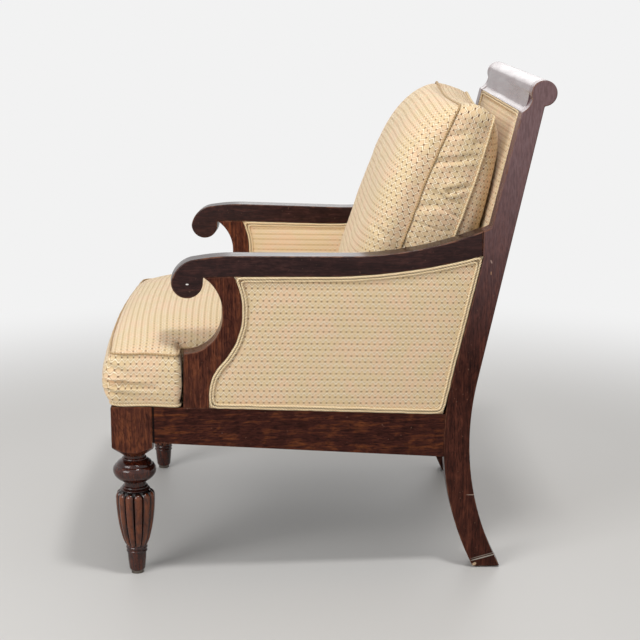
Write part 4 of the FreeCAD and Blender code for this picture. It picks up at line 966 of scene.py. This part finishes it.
def flat_side(node, facing):
    """Directions, level and closed outer edge of a node's flat side that faces a way."""
    form = opened(node)
    hint = Vector(facing).normalized()
    ahead = [face for face in form.faces if face.normal.dot(hint) > facing_share]
    away = max(ahead, key=lambda face: face.calc_area()).normal.normalized()
    across = Vector((0, 0, 1)).cross(away).normalized()
    upward = away.cross(across)
    flat = [face for face in ahead if face.normal.dot(away) > flat_share]
    level = max(face.verts[0].co.dot(away) for face in flat)
    flat = [face for face in flat if abs(face.verts[0].co.dot(away) - level) < flat_within]
    level_faces = set(flat)
    after = {}
    for face in flat:
        for corner in face.loops:
            if sum(beside in level_faces for beside in corner.edge.link_faces) == 1:
                after[corner.vert] = corner.link_loop_next.vert
    loops = []
    while after:
        start, here = after.popitem()
        loop = [start]
        while here != start:
            loop.append(here)
            here = after.pop(here)
        loops.append(np.array([(vert.co.dot(across), vert.co.dot(upward)) for vert in loop]))
    form.free()
    widest = max(loops, key=lambda loop: np.ptp(loop[:, 0]) + np.ptp(loop[:, 1]))
    basis = [np.array(vector) for vector in (across, upward, away)]
    return basis, level, widest


def to_space(basis, flat, height):
    """Places in space of flat places and their heights."""
    across, upward, away = basis
    height = np.broadcast_to(height, len(flat))
    return flat[:, :1] * across + flat[:, 1:2] * upward + height[:, None] * away


panel_fullness = 0.6
panel_crown_ease = 30 * mm
outer_crown = 3 * mm
cord_radius = 2.35 * mm
tack_pitch = 23 * mm
tack_edge = 9 * mm
tack_fade = 7 * mm
tack_pull = 0.9 * mm
sag_wave = 70 * mm
sag_depth = 0.9 * mm
sag_ease = 60 * mm
pad_thickness = 1.8 * mm
pad_rise = 0.25 * mm
cord_gap = 0.1 * mm
cord_wander = 0.7 * mm
cord_wave = 15 * mm
# Angle round each cord of its seam, where its colour gets painted shade
double_welt_seams = (math.pi * 0.96, math.pi * 0.04)
cloth_slip = math.radians(1.9)


def tacked_cloth(panel, basis, level, rim, crown, turn):
    """Puffed cloth of one panel, drawn down at each tack and turned a little in its opening."""
    loop = even_loop(rim, fabric_step)
    points, faces, order = grid_sheet(loop, fabric_step)
    away, along = rim_distance(points, loop)
    lift = crown * risen(points, puffed(loop)) ** panel_fullness
    lift *= np.clip(away / panel_crown_ease, 0, 1) ** 0.5
    drawn = np.exp(-(np.maximum(away - tack_edge, 0) / tack_fade) ** 2)
    lift -= drawn * (0.5 + 0.5 * np.cos(2 * math.pi * along / tack_pitch)) * tack_pull
    drift = np.array([noise.noise(Vector((u, v, level)) / sag_wave) for u, v in points])
    lift += drift * sag_depth * np.clip(away / sag_ease, 0, 1)
    base = level - 2 * cord_radius + pad_rise
    count = len(points)
    spots = np.vstack([to_space(basis, points, base + lift), to_space(basis, points, base - pad_thickness)])
    backs = [[count + index for index in reversed(face)] for face in faces]
    walls = [[count + here, count + there, there, here] for here, there in zip(order, order[1:] + order[:1])]
    middle = (loop.min(axis=0) + loop.max(axis=0)) / 2
    cosine, sine = math.cos(turn), math.sin(turn)
    turned = (points - middle) @ np.array([[cosine, sine], [-sine, cosine]])
    maps = [turned[[index % count for index in face]] for face in faces + backs + walls]
    cloth = shaded(panel + "_cloth", build_mesh(panel, spots, faces + backs + walls, maps), cover_cloth, 50)
    put_on(cloth, "chair_frame", "woven_cover", panel)


def double_welt(welt, basis, level, rim):
    """Two cords side by side along the opening, in gentle waves where they were glued by hand."""
    paths = []
    sides = []
    ups = []
    for distance in (cord_radius, 3 * cord_radius):
        line = inset(rim, distance + cord_gap)
        outer = outward(line)
        ripple = np.array([noise.noise(Vector((u, v, distance)) / cord_wave) for u, v in line]) * cord_wander
        line = line + outer * ripple[:, None]
        paths.append(to_space(basis, line, level - cord_radius))
        sides.append(outer[:, :1] * basis[0] + outer[:, 1:] * basis[1])
        ups.append(np.tile(basis[2], (len(line), 1)))
    mesh = cord(welt, paths, sides, ups, cord_radius, double_welt_seams)
    put_on(shaded(welt + "_cords", mesh, welt_cloth, cord_crease), "chair_frame", "welt_cord", welt)


def upholstered_panel(panel, welt, facing, crown, turn=0.0):
    """Cloth of one opening, and the double welt over its tacks."""
    basis, level, rim = flat_side(welt, facing)
    tacked_cloth(panel, basis, level, rim, crown, turn)
    double_welt(welt, basis, level, rim)


for side, name in ((1, "left"), (-1, "right")):
    upholstered_panel(
        "outer_side_panel_" + name, "outer_side_welt_" + name, (side, 0, 0), outer_crown, side * cloth_slip)
    upholstered_panel("inner_side_panel_" + name, "inner_side_welt_" + name, (-side, 0, 0), 9 * mm)
upholstered_panel("inner_back_panel", "inner_back_welt", (0, -1, 0.2), 12 * mm)
upholstered_panel("outer_back_panel", "outer_back_welt", (0, 1, -0.2), outer_crown)

# Seat cushion: a loose boxed T cushion, foam wrapped in fibre, in a cover of the patterned cloth.
# Each seam of the boxing holds a single welt; years of use have crowned the top and creased the corners.

seat_low, seat_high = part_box("seat_cushion_cover")
seam_draw = 5 * mm
seat_boxing = 97 * mm
seat_crown = 53.5 * mm
seat_fullness = 2.2
seat_overhang = 14 * mm
seat_roundness = 20 * mm
seat_bulge = 7 * mm
seat_front_bulge = 9 * mm
front_bulge_y = -365 * mm
front_bulge_ease = 25 * mm
swell_flatness = 2.2
seat_front_draw = 10 * mm
seat_bow = 15 * mm
ear_x = seat_high[0] - seam_draw
ear_corner = 20 * mm
ear_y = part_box("arm_post_left")[0][1] - 6 * mm
waist_x = 289 * mm
tail_x = 250.5 * mm
tail_y = seat_high[1] - seam_draw
deck_gap = 0.3 * mm
rail_start_y = -315 * mm
rail_fall = 0.0561
seat_step = 5 * mm
boxing_rows = 24
slope_probe = 12 * mm
seam_ease = 9 * mm
settling_rounds = 260
settling_pull = 0.85
smoothing_every = 8
arc_step = math.radians(15)


def rounded_loop(corners):
    """Closed outline through corners, each with its own radius."""
    found = []
    count = len(corners)
    for place in range(count):
        before, here, after = [np.array(corners[(place + shift) % count][:2]) for shift in (-1, 0, 1)]
        radius = corners[place][2]
        back = (before - here) / np.linalg.norm(before - here)
        ahead = (after - here) / np.linalg.norm(after - here)
        half = math.acos(np.clip(back @ ahead, -1, 1)) / 2
        if radius == 0 or half > math.radians(89):
            found.append(here)
            continue
        middle = here + (back + ahead) / np.linalg.norm(back + ahead) * radius / math.sin(half)
        first = here + back * radius / math.tan(half) - middle
        last = here + ahead * radius / math.tan(half) - middle
        sweep = math.atan2(first[0] * last[1] - first[1] * last[0], first @ last)
        steps = max(2, math.ceil(abs(sweep) / arc_step))
        for step in range(steps + 1):
            angle = sweep * step / steps
            turn = np.array([[math.cos(angle), -math.sin(angle)], [math.sin(angle), math.cos(angle)]])
            found.append(middle + turn @ first)
    return np.array(found)


front_seam_y = seat_low[1] + seat_front_draw
corner_y = front_seam_y + seat_bow
bowed = [(share * ear_x, front_seam_y + seat_bow * share ** 2, 0) for share in np.linspace(-0.9, 0.9, 13)]
right = [(ear_x, corner_y, ear_corner), (ear_x, ear_y, 6 * mm), (waist_x, ear_y, 5 * mm),
         (tail_x, tail_y, 16 * mm)]
left = [(-x, y, radius) for x, y, radius in reversed(right)]
seat_loop = plain_loop(rounded_loop(bowed + right + left), seat_step)


def seat_floor(y):
    """Height of the cushion's underside: level on the leg blocks, then down along the rails."""
    return seat_low[2] + deck_gap + (seat_high[1] - np.maximum(y, rail_start_y)) * rail_fall


def crowned(cut, loop, raster, crown, fullness, overhang, roundness):
    """Place and height of each spot of a flat-cut panel that is sewn round its rim and puffed up."""
    share = np.clip(risen(cut, raster), 0, 1)
    away, nearest = rim_distance(cut, loop)
    slope = np.empty_like(cut)
    for axis in (0, 1):
        ahead = np.zeros(2)
        ahead[axis] = slope_probe
        slope[:, axis] = (risen(cut + ahead, raster) - risen(cut - ahead, raster)) / (2 * slope_probe)
    steepest = np.percentile(np.linalg.norm(slope, axis=1), 98)
    spread = overhang / steepest * (1 - np.exp(-away / roundness))
    rise = crown * (1 - (1 - share) ** fullness) * np.clip(away / seam_ease, 0, 1) ** 0.8
    return cut - slope * spread[:, None], rise, away, nearest


def laid_out(flat, spots, faces):
    """Cloth map of a formed panel, in which every stretch of thread has the length it has on the form."""
    pairs = {tuple(sorted(pair)) for face in faces for pair in zip(face, face[1:] + face[:1])}
    first, second = np.array(sorted(pairs)).T
    size = np.linalg.norm(spots[first] - spots[second], axis=1)
    count = len(flat)

    def summed(at_first, at_second):
        """What the threads bring to each point, by their first and their second ends."""
        return np.stack([
            np.bincount(first, at_first[:, axis], count) + np.bincount(second, at_second[:, axis], count)
            for axis in (0, 1)], axis=1)

    meeting = summed(np.ones((len(first), 2)), np.ones((len(first), 2)))
    moved = np.zeros_like(flat)
    for done in range(settling_rounds):
        gap = (flat + moved)[second] - (flat + moved)[first]
        far = np.linalg.norm(gap, axis=1)
        pull = gap * ((far - size) / far)[:, None]
        moved = moved + settling_pull * summed(pull, -pull) / meeting
        if done % smoothing_every == 0 or done > settling_rounds - smoothing_every:
            moved = 0.5 * moved + 0.5 * summed(moved[second], moved[first]) / meeting
    return flat + moved


def boxed_cushion(loop, step, place, boxing, panels, swell, creases):
    """Closed cushion: a crowned panel, a boxing that swells between the seams, and a second panel."""
    points, faces, order = grid_sheet(loop, step)
    count = len(points)
    rim = points[order]
    outer = outward(rim)
    along = lengths_along(np.vstack([rim, rim[:1]]))
    top, top_rise = panels[0](points)
    base, base_rise = panels[1](points)
    spots = [place(top, boxing + top_rise), place(base, -base_rise)]
    rows = [np.array(order) + count]
    heights = [0.0]
    for row in range(1, boxing_rows):
        part = row / boxing_rows
        height = part * boxing
        push = swell(rim, part) + creases(rim, along[:-1], height) * math.sin(math.pi * part) ** 0.4
        spots.append(place(rim + outer * push[:, None], np.full(len(rim), height)))
        rows.append(2 * count + (row - 1) * len(rim) + np.arange(len(rim)))
        heights.append(height)
    rows.append(np.array(order))
    heights.append(boxing)
    cut = laid_out(points, spots[0], faces)
    backs = [list(reversed(face)) for face in faces]
    all_faces = faces + [[count + index for index in face] for face in backs]
    maps = [cut[face] for face in faces + backs]
    for row, low, high in zip(range(boxing_rows), heights, heights[1:]):
        for here in range(len(rim)):
            there = (here + 1) % len(rim)
            start, end = along[here], along[here + 1]
            all_faces.append([rows[row][here], rows[row][there], rows[row + 1][there], rows[row + 1][here]])
            maps.append([(start, low), (end, low), (end, high), (start, high)])
    return np.vstack(spots), all_faces, maps, rim, outer


def ripples(spots, size, wave, seed):
    """Slow random rise and fall of a cloth."""
    return size * np.array([noise.noise(Vector((u, v, seed * wave)) / wave) for u, v in spots])


def folds(along, across, depth, width, wave, reach, seed):
    """Narrow soft valleys that run across a strip, at uneven places along it."""
    level = np.array([noise.noise(Vector((s / wave, h / reach, seed))) for s, h in zip(along, across)])
    fade = np.array([
        0.5 + noise.noise(Vector((s / (2 * wave), h / reach, seed + 9))) for s, h in zip(along, across)])
    return -depth * np.exp(-(level / width) ** 2) * np.clip(fade, 0, 1)


def seat_place(flat, height):
    """From the flat cut and a height over the deck to the chair."""
    return np.column_stack([flat, seat_floor(flat[:, 1]) + height])


seat_raster = puffed(seat_loop)

# Start, end, width and depth of each fold in the boxing, as places back from a front corner and up
seat_folds = [
    ((-4 * mm, 80 * mm), (26 * mm, 66 * mm), 4.0 * mm, 6.0 * mm),
    ((-4 * mm, 46 * mm), (78 * mm, 35 * mm), 4.5 * mm, 8.5 * mm),
    ((-2 * mm, 28 * mm), (52 * mm, 13 * mm), 4.0 * mm, 6.0 * mm),
    ((-70 * mm, 62 * mm), (-18 * mm, 50 * mm), 5.0 * mm, 4.0 * mm)]


def seat_rise(spots):
    """Crown of the seat cushion over its seam, at places seen from above."""
    return seat_crown * (1 - (1 - np.clip(risen(spots, seat_raster), 0, 1)) ** seat_fullness)


def seat_top(cut):
    """Top panel: crowned, a little wavy, and puckered along its seam."""
    flat, rise, away, nearest = crowned(
        cut, seat_loop, seat_raster, seat_crown, seat_fullness, seat_overhang, seat_roundness)
    rise += ripples(cut, size=2.4 * mm, wave=75 * mm, seed=1) * np.clip(away / (50 * mm), 0, 1)
    puckers = folds(nearest, away, depth=2.2 * mm, width=0.07, wave=30 * mm, reach=90 * mm, seed=4)
    rise += puckers * np.exp(-away / (24 * mm)) * np.clip(away / (6 * mm), 0, 1)
    return flat, rise


def seat_bottom(cut):
    """Bottom panel: flat on the deck."""
    return cut, np.zeros(len(cut))


def seat_swell(rim, part):
    """The boxing bulges most at the front corners."""
    front = np.clip((front_bulge_y - rim[:, 1]) / front_bulge_ease, 0, 1)
    return (seat_bulge + seat_front_bulge * front) * (1 - abs(2 * part - 1) ** swell_flatness)


def valley(spots, start, end, width, depth):
    """Soft valley with a low ridge beside it, along a short line on a cloth, deepest where it starts."""
    start = np.array(start)
    line = np.array(end) - start
    size = np.linalg.norm(line)
    along = np.clip((spots - start) @ line / size, 0, size)
    away = np.linalg.norm(spots - start - along[:, None] * line / size, axis=1) / width
    fade = 1 - 0.75 * (along / size) ** 1.5
    return -depth * fade * (np.exp(-away ** 2) - 0.5 * np.exp(-(away - 2.0) ** 2))


def seat_creases(rim, along, height):
    """Folds in the boxing that run back from the front corners, and small waves elsewhere."""
    level = np.full(len(rim), height)
    push = ripples(np.column_stack([along, level]), size=2.2 * mm, wave=30 * mm, seed=2)
    back = np.where(rim[:, 1] > corner_y, rim[:, 1] - corner_y, np.abs(rim[:, 0]) - ear_x)
    spots = np.column_stack([back + 2.5 * mm * np.sin(height / (9 * mm)), level])
    behind = np.clip((back + 4 * mm) / (10 * mm), 0, 1)
    for start, end, width, depth in seat_folds:
        push += valley(spots, start, end, width, depth) * behind
    return push


def seam_cord(name, body, place, rim, outer, height, tuck, radius, seam, wander, cloth, up_hint):
    """One welt along a seam of a cushion, its own seam turned to the given side, where its colour gets
    painted shade.
    """
    line = plain_loop(rim + outer * tuck, 3.5 * mm)
    shake = ripples(line, size=wander, wave=24 * mm, seed=3 + seam)
    path = place(line, height + shake)
    side = place(line + outward(line) * mm, height + shake) - path
    side /= np.linalg.norm(side, axis=1)[:, None]
    up = np.cross(np.roll(path, -1, axis=0) - np.roll(path, 1, axis=0), side)
    up /= np.linalg.norm(up, axis=1)[:, None]
    up *= np.sign((up * np.array(up_hint)).sum(axis=1))[:, None]
    mesh = cord(name, [path], [side], [up], radius, [seam])
    put_on(shaded(name, mesh, cloth, cord_crease), body, "welt_cord")


spots, faces, maps, seat_rim, seat_outer = boxed_cushion(
    seat_loop, seat_step, seat_place, seat_boxing, (seat_top, seat_bottom), seat_swell, seat_creases)
seat_mesh = build_mesh("seat_cushion", spots, faces, maps)
seat_case = shaded("seat_cushion_case", seat_mesh, cover_cloth, cover_crease)
seat_cushion = put_on(seat_case, "seat_cushion", "woven_cover", "seat_cushion_cover")
# Top welts: a darker copy of the welt cloth, painted shade where they sink between panel and boxing.
shade_painted_welt = cord_cloth("shade_painted_welt_cloth", "#A5845A", "#D8BC90", "#4E331C")
seam_cord("seat_top_welt", "seat_cushion", seat_place, seat_rim, seat_outer,
          height=seat_boxing + 0.5 * mm, tuck=1.2 * mm, radius=2.1 * mm, seam=math.pi,
          wander=1.7 * mm, cloth=shade_painted_welt, up_hint=(0, 0, 1))
seam_cord("seat_lower_welt", "seat_cushion", seat_place, seat_rim, seat_outer,
          height=2.8 * mm, tuck=2.6 * mm, radius=2.7 * mm, seam=math.pi / 2,
          wander=0.3 * mm, cloth=welt_cloth, up_hint=(0, 0, 1))

foam_cell = metre / 450
cell_depth = 0.8 * mm
sawn_edge = 3 * mm
sawn_turn = math.radians(35)
core_turn = math.radians(1)


def foam():
    """Open-celled polyurethane foam: pale yellow, matt, with fine pores."""
    material, tree, shader = start_material("open_celled_foam")
    place = add_node(tree, "ShaderNodeTexCoord").outputs["Object"]
    cells = add_node(tree, "ShaderNodeTexVoronoi", {"Vector": place, "Scale": 1 / foam_cell})
    tone = add_node(tree, "ShaderNodeMix", {
        0: cells, 6: srgb("#C9B26A"), 7: srgb("#EBDDA6")}, data_type="RGBA")
    bump = add_node(tree, "ShaderNodeBump", {"Height": cells, "Strength": 0.6, "Distance": cell_depth})
    set_inputs(tree, shader, {"Base Color": tone.outputs[2], "Normal": bump, "Roughness": 0.95})
    return material


cut_foam = foam()


def foam_core(node, body):
    """Foam slab inside a cushion, with its sawn edges eased."""
    form = opened(node)
    bmesh.ops.dissolve_limit(form, angle_limit=core_turn, verts=form.verts, edges=form.edges)
    sharp = [edge for edge in form.edges if edge.is_manifold and edge.calc_face_angle() > sawn_turn]
    bmesh.ops.bevel(form, geom=sharp, offset=sawn_edge, segments=2, profile=0.5, affect="EDGES")
    bmesh.ops.triangulate(form, faces=form.faces)
    slab = put_on(shaded(node + "_foam", closed(form, node), cut_foam), body, "foam", node)


foam_core("seat_cushion_core", "seat_cushion")

# Back cushion: a loose boxed cushion filled with down and fibre, which leans on the inner back.
# It is plump in front, soft at its top corners, and its weight has settled on the seat.

lean = math.radians(20)
back_top = (308.3 * mm, 838 * mm)
back_width = 502 * mm
back_height = 462 * mm
back_boxing = 77 * mm
front_crown = 75 * mm
front_fullness = 2.8
front_overhang = 44 * mm
front_roundness = 28 * mm
rear_crown = 54 * mm
rear_overhang = 22 * mm
rear_seam_bow = 9 * mm
back_step = 4.5 * mm
top_thinning = 0.13
thin_reach = 170 * mm
settled_gap = 1.5 * mm
settled_ease = 12 * mm
inner_face_y = 350 * mm
inner_face_z = 858 * mm
stile_rake = math.radians(13.2)
inner_pad = 9.5 * mm
back_half = back_width / 2 - seam_draw
near_top = 4 * mm
far_top = near_top + 10 * mm
top_sag = 4 * mm
top_corner = 13 * mm
low_corner = 26 * mm
back_swell_depth = 6 * mm
near_corner_swell = 6 * mm
far_corner_swell = -4 * mm
top_swell_reach = 30 * mm


def seat_surface_z(x, y):
    """Height of the seat cushion's top at a place."""
    x = np.clip(x, -tail_x + seam_ease, tail_x - seam_ease)
    y = np.clip(y, corner_y, tail_y - seam_ease)
    return seat_floor(y) + seat_boxing + seat_rise(np.column_stack([x, y]))


def back_place(flat, height):
    """From (across, down, forward) on the leaning cushion to the chair."""
    down = -flat[:, 1]
    thin = 1 - top_thinning * np.clip(1 - down / thin_reach, 0, 1) ** 2
    bowed_share = np.sin(math.pi * np.clip(down / back_height, 0, 1) ** 0.74) ** 1.5
    forward = height * thin - rear_seam_bow * bowed_share * np.clip(1 - height / back_boxing, 0, 1)
    y = back_top[0] - down * math.sin(lean) - forward * math.cos(lean)
    z = back_top[1] - down * math.cos(lean) + forward * math.sin(lean)
    rest = seat_surface_z(flat[:, 0], y) + settled_gap + settled_ease
    z = np.where(z < rest, rest - settled_ease + settled_ease * np.exp((z - rest) / settled_ease), z)
    wall = inner_face_y - (inner_face_z - z) * math.tan(stile_rake) - inner_pad
    return np.column_stack([flat[:, 0], np.minimum(y, wall), z])


def top_seam(share):
    """Place on the sagging seam along the top, from the near corner at 1 to the far one at -1."""
    level = near_top - top_sag * (1 - share ** 2) + (far_top - near_top) * max(0, -share) ** 1.5
    return share * back_half * 0.88, level, 0


near_side = [(back_half, -back_height, low_corner), (back_half, near_top, top_corner)]
far_side = [(-back_half, far_top, top_corner)]
top_line = [top_seam(share) for share in np.linspace(1, -1, 13)]
back_loop = plain_loop(rounded_loop(
    [(-back_half, -back_height, low_corner)] + near_side + top_line + far_side), back_step)
back_raster = puffed(back_loop)

# Start, end, width and depth of each fold drawn from the near seam of the front panel
front_folds = [
    ((back_half - 6 * mm, -92 * mm), (back_half - 58 * mm, -52 * mm), 6.0 * mm, 8.0 * mm),
    ((back_half - 6 * mm, -118 * mm), (back_half - 40 * mm, -100 * mm), 5.0 * mm, 5.0 * mm),
    ((back_half - 6 * mm, -268 * mm), (back_half - 62 * mm, -250 * mm), 6.0 * mm, 7.0 * mm),
    ((back_half - 6 * mm, -330 * mm), (back_half - 70 * mm, -352 * mm), 7.0 * mm, 6.0 * mm)]
far_fold_drop = 26 * mm
far_fold_share = 0.7


def back_front(cut):
    """Front panel: full to its seams, with slow folds, and short ones drawn from the seam."""
    flat, rise, away, nearest = crowned(
        cut, back_loop, back_raster, front_crown, front_fullness, front_overhang, front_roundness)
    rise += ripples(cut, size=3 * mm, wave=85 * mm, seed=7) * np.clip(away / (60 * mm), 0, 1)
    drawn = folds(nearest, away, depth=5 * mm, width=0.06, wave=42 * mm, reach=120 * mm, seed=6)
    mirrored = cut * np.array([-1, 1]) + np.array([0, far_fold_drop])
    for start, end, width, depth in front_folds:
        drawn += valley(cut, start, end, width, depth)
        drawn += valley(mirrored, start, end, width, far_fold_share * depth)
    rise += drawn * np.exp(-away / (55 * mm)) * np.clip(away / (8 * mm), 0, 1)
    return flat, rise


def back_rear(cut):
    """Rear panel: plump at its edges, flattened where it leans on the inner back."""
    return crowned(
        cut, back_loop, back_raster, rear_crown, front_fullness, rear_overhang, front_roundness)[:2]


def back_swell(rim, part):
    """Boxing swell: gentle at the sides, high at the top, most at the top corners."""
    body = 1 - abs(2 * part - 1) ** swell_flatness
    top = np.clip((rim[:, 1] + top_swell_reach) / top_swell_reach, 0, 1)
    side = np.where(rim[:, 0] < 0, far_corner_swell, near_corner_swell)
    corner = np.clip(np.abs(rim[:, 0]) / back_half, 0, 1) ** 3 * side
    return body * (back_swell_depth + top * corner)


# Start, end, width and depth of each fold in the boxing, as places down from the top and forward
boxing_folds = [
    ((56 * mm, 80 * mm), (38 * mm, 40 * mm), 5.0 * mm, 3.5 * mm),
    ((108 * mm, 78 * mm), (72 * mm, 8 * mm), 5.5 * mm, 5.0 * mm),
    ((146 * mm, 36 * mm), (122 * mm, -4 * mm), 5.0 * mm, 4.5 * mm),
    ((196 * mm, 82 * mm), (178 * mm, 34 * mm), 6.5 * mm, 3.5 * mm),
    ((262 * mm, 82 * mm), (304 * mm, 26 * mm), 7.0 * mm, 4.5 * mm),
    ((344 * mm, 70 * mm), (310 * mm, 10 * mm), 7.0 * mm, 4.5 * mm)]


def back_creases(rim, along, height):
    """Short folds across the boxing, drawn between its two seams, and slow waves."""
    strip = np.full(len(rim), height)
    down = -rim[:, 1] + np.where(rim[:, 0] < 0, 24 * mm, 0.0)
    shaken = down + ripples(np.column_stack([down, strip]), size=5 * mm, wave=40 * mm, seed=3)
    spots = np.column_stack([shaken, strip])
    beside = np.clip((np.abs(rim[:, 0]) - back_half + 30 * mm) / (20 * mm), 0, 1)
    push = np.zeros(len(rim))
    for start, end, width, depth in boxing_folds:
        push += valley(spots, start, end, width, depth)
    push *= beside
    push += folds(along, strip, depth=3 * mm, width=0.10, wave=24 * mm, reach=90 * mm, seed=21)
    return push + ripples(np.column_stack([along, strip]), size=1.8 * mm, wave=30 * mm, seed=15)


spots, faces, maps, back_rim, back_outer = boxed_cushion(
    back_loop, back_step, back_place, back_boxing, (back_front, back_rear), back_swell, back_creases)
back_mesh = build_mesh("back_cushion", spots, faces, maps)
back_case = shaded("back_cushion_case", back_mesh, cover_cloth, cover_crease)
back_cushion = put_on(back_case, "back_cushion", "woven_cover", "back_cushion_cover")
seam_cord("back_front_welt", "back_cushion", back_place, back_rim, back_outer,
          height=back_boxing + 0.4 * mm, tuck=1.2 * mm, radius=2.1 * mm, seam=math.pi,
          wander=1.6 * mm, cloth=shade_painted_welt, up_hint=(0, -1, 0.3))
seam_cord("back_rear_welt", "back_cushion", back_place, back_rim, back_outer,
          height=0.6 * mm, tuck=2.0 * mm, radius=2.3 * mm, seam=math.pi,
          wander=0.8 * mm, cloth=welt_cloth, up_hint=(0, -1, 0.3))
foam_core("back_cushion_core", "back_cushion")

# Studio: a pale seamless floor that fades into a paler backdrop, lit by three soft square lamps.
# The camera has a long lens and looks down a little from the sitter's left.

floor_half = 7.0
fade_start = 0.9
fade_end = 2.2
backdrop_white = "#F2F2F2"
fill_strength = 0.50
seat_middle = (0, 0, 0.45)
back_middle = (0, 0, 0.5)


def studio_floor():
    """Painted matt floor, which the camera sees fade to the backdrop's white."""
    material, tree, shader = start_material("pale_studio_floor")
    set_inputs(tree, shader, {"Base Color": srgb("#C8C6C3"), "Roughness": 0.55})
    place = add_node(tree, "ShaderNodeTexCoord").outputs["Object"]
    away = add_node(tree, "ShaderNodeVectorMath", {0: place}, operation="LENGTH").outputs["Value"]
    fade = add_node(tree, "ShaderNodeMapRange", {
        0: away, 1: fade_start, 2: fade_end}, interpolation_type="SMOOTHSTEP")
    rays = add_node(tree, "ShaderNodeLightPath")
    seen = add_node(tree, "ShaderNodeMath", {
        0: rays.outputs["Is Camera Ray"], 1: fade}, operation="MULTIPLY")
    glow = add_node(tree, "ShaderNodeEmission", {"Color": srgb(backdrop_white), "Strength": 1.0})
    both = add_node(tree, "ShaderNodeMixShader", {0: seen, 1: shader, 2: glow})
    set_inputs(tree, tree.nodes["Material Output"], {"Surface": both})
    return material


corners = [(-floor_half, -floor_half, 0), (floor_half, -floor_half, 0),
           (floor_half, floor_half, 0), (-floor_half, floor_half, 0)]
floor_mesh = bpy.data.meshes.new("floor")
floor_mesh.from_pydata(corners, [], [(0, 1, 2, 3)])
floor = bpy.data.objects.new("floor", floor_mesh)
bpy.context.scene.collection.objects.link(floor)
floor_mesh.materials.append(studio_floor())

world = bpy.data.worlds.new("studio")
bpy.context.scene.world = world
world.use_nodes = True
tree = world.node_tree
tree.nodes.clear()
rays = add_node(tree, "ShaderNodeLightPath")
shown = add_node(tree, "ShaderNodeMath", {
    0: rays.outputs["Is Camera Ray"], 1: rays.outputs["Is Glossy Ray"]}, operation="MAXIMUM")
shown = add_node(tree, "ShaderNodeMath", {
    0: shown, 1: rays.outputs["Is Transmission Ray"]}, operation="MAXIMUM")
fill = add_node(tree, "ShaderNodeBackground", {"Color": srgb("#FFFFFF"), "Strength": fill_strength})
back = add_node(tree, "ShaderNodeBackground", {"Color": srgb(backdrop_white), "Strength": 1.0})
sky = add_node(tree, "ShaderNodeMixShader", {0: shown, 1: fill, 2: back})
add_node(tree, "ShaderNodeOutputWorld", {"Surface": sky})


def soft_box(name, spot, aim, size, watts):
    """A square studio lamp that points at a spot."""
    lamp = bpy.data.lights.new(name, "AREA")
    lamp.size = size
    lamp.energy = watts
    holder = bpy.data.objects.new(name, lamp)
    holder.location = spot
    holder.rotation_mode = "QUATERNION"
    holder.rotation_quaternion = (Vector(aim) - Vector(spot)).to_track_quat("-Z", "Y")
    bpy.context.scene.collection.objects.link(holder)


soft_box("key_lamp", (0.95, 0.30, 3.05), seat_middle, size=0.35, watts=33)
soft_box("fill_lamp", (2.2, -2.2, 1.9), seat_middle, size=1.6, watts=55)
soft_box("back_lamp", (-3.6, 0.6, 2.2), back_middle, size=2.0, watts=20)

camera_place = (2.966, -0.065, 1.091)
camera_pitch = math.radians(12.87)
camera_yaw = math.radians(1.22)
focal_pixels = 1500.0
frame_pixels = 640.0
camera_data = bpy.data.cameras.new("camera")
camera_data.sensor_width = 36.0
camera_data.lens = focal_pixels / frame_pixels * camera_data.sensor_width
camera = bpy.data.objects.new("camera", camera_data)
look = Vector((
    -math.cos(camera_pitch) * math.cos(camera_yaw),
    math.cos(camera_pitch) * math.sin(camera_yaw),
    -math.sin(camera_pitch)))
camera.location = camera_place
camera.rotation_mode = "QUATERNION"
camera.rotation_quaternion = look.to_track_quat("-Z", "Y")
bpy.context.scene.collection.objects.link(camera)
bpy.context.scene.camera = camera
bpy.context.scene.view_settings.view_transform = "Standard"
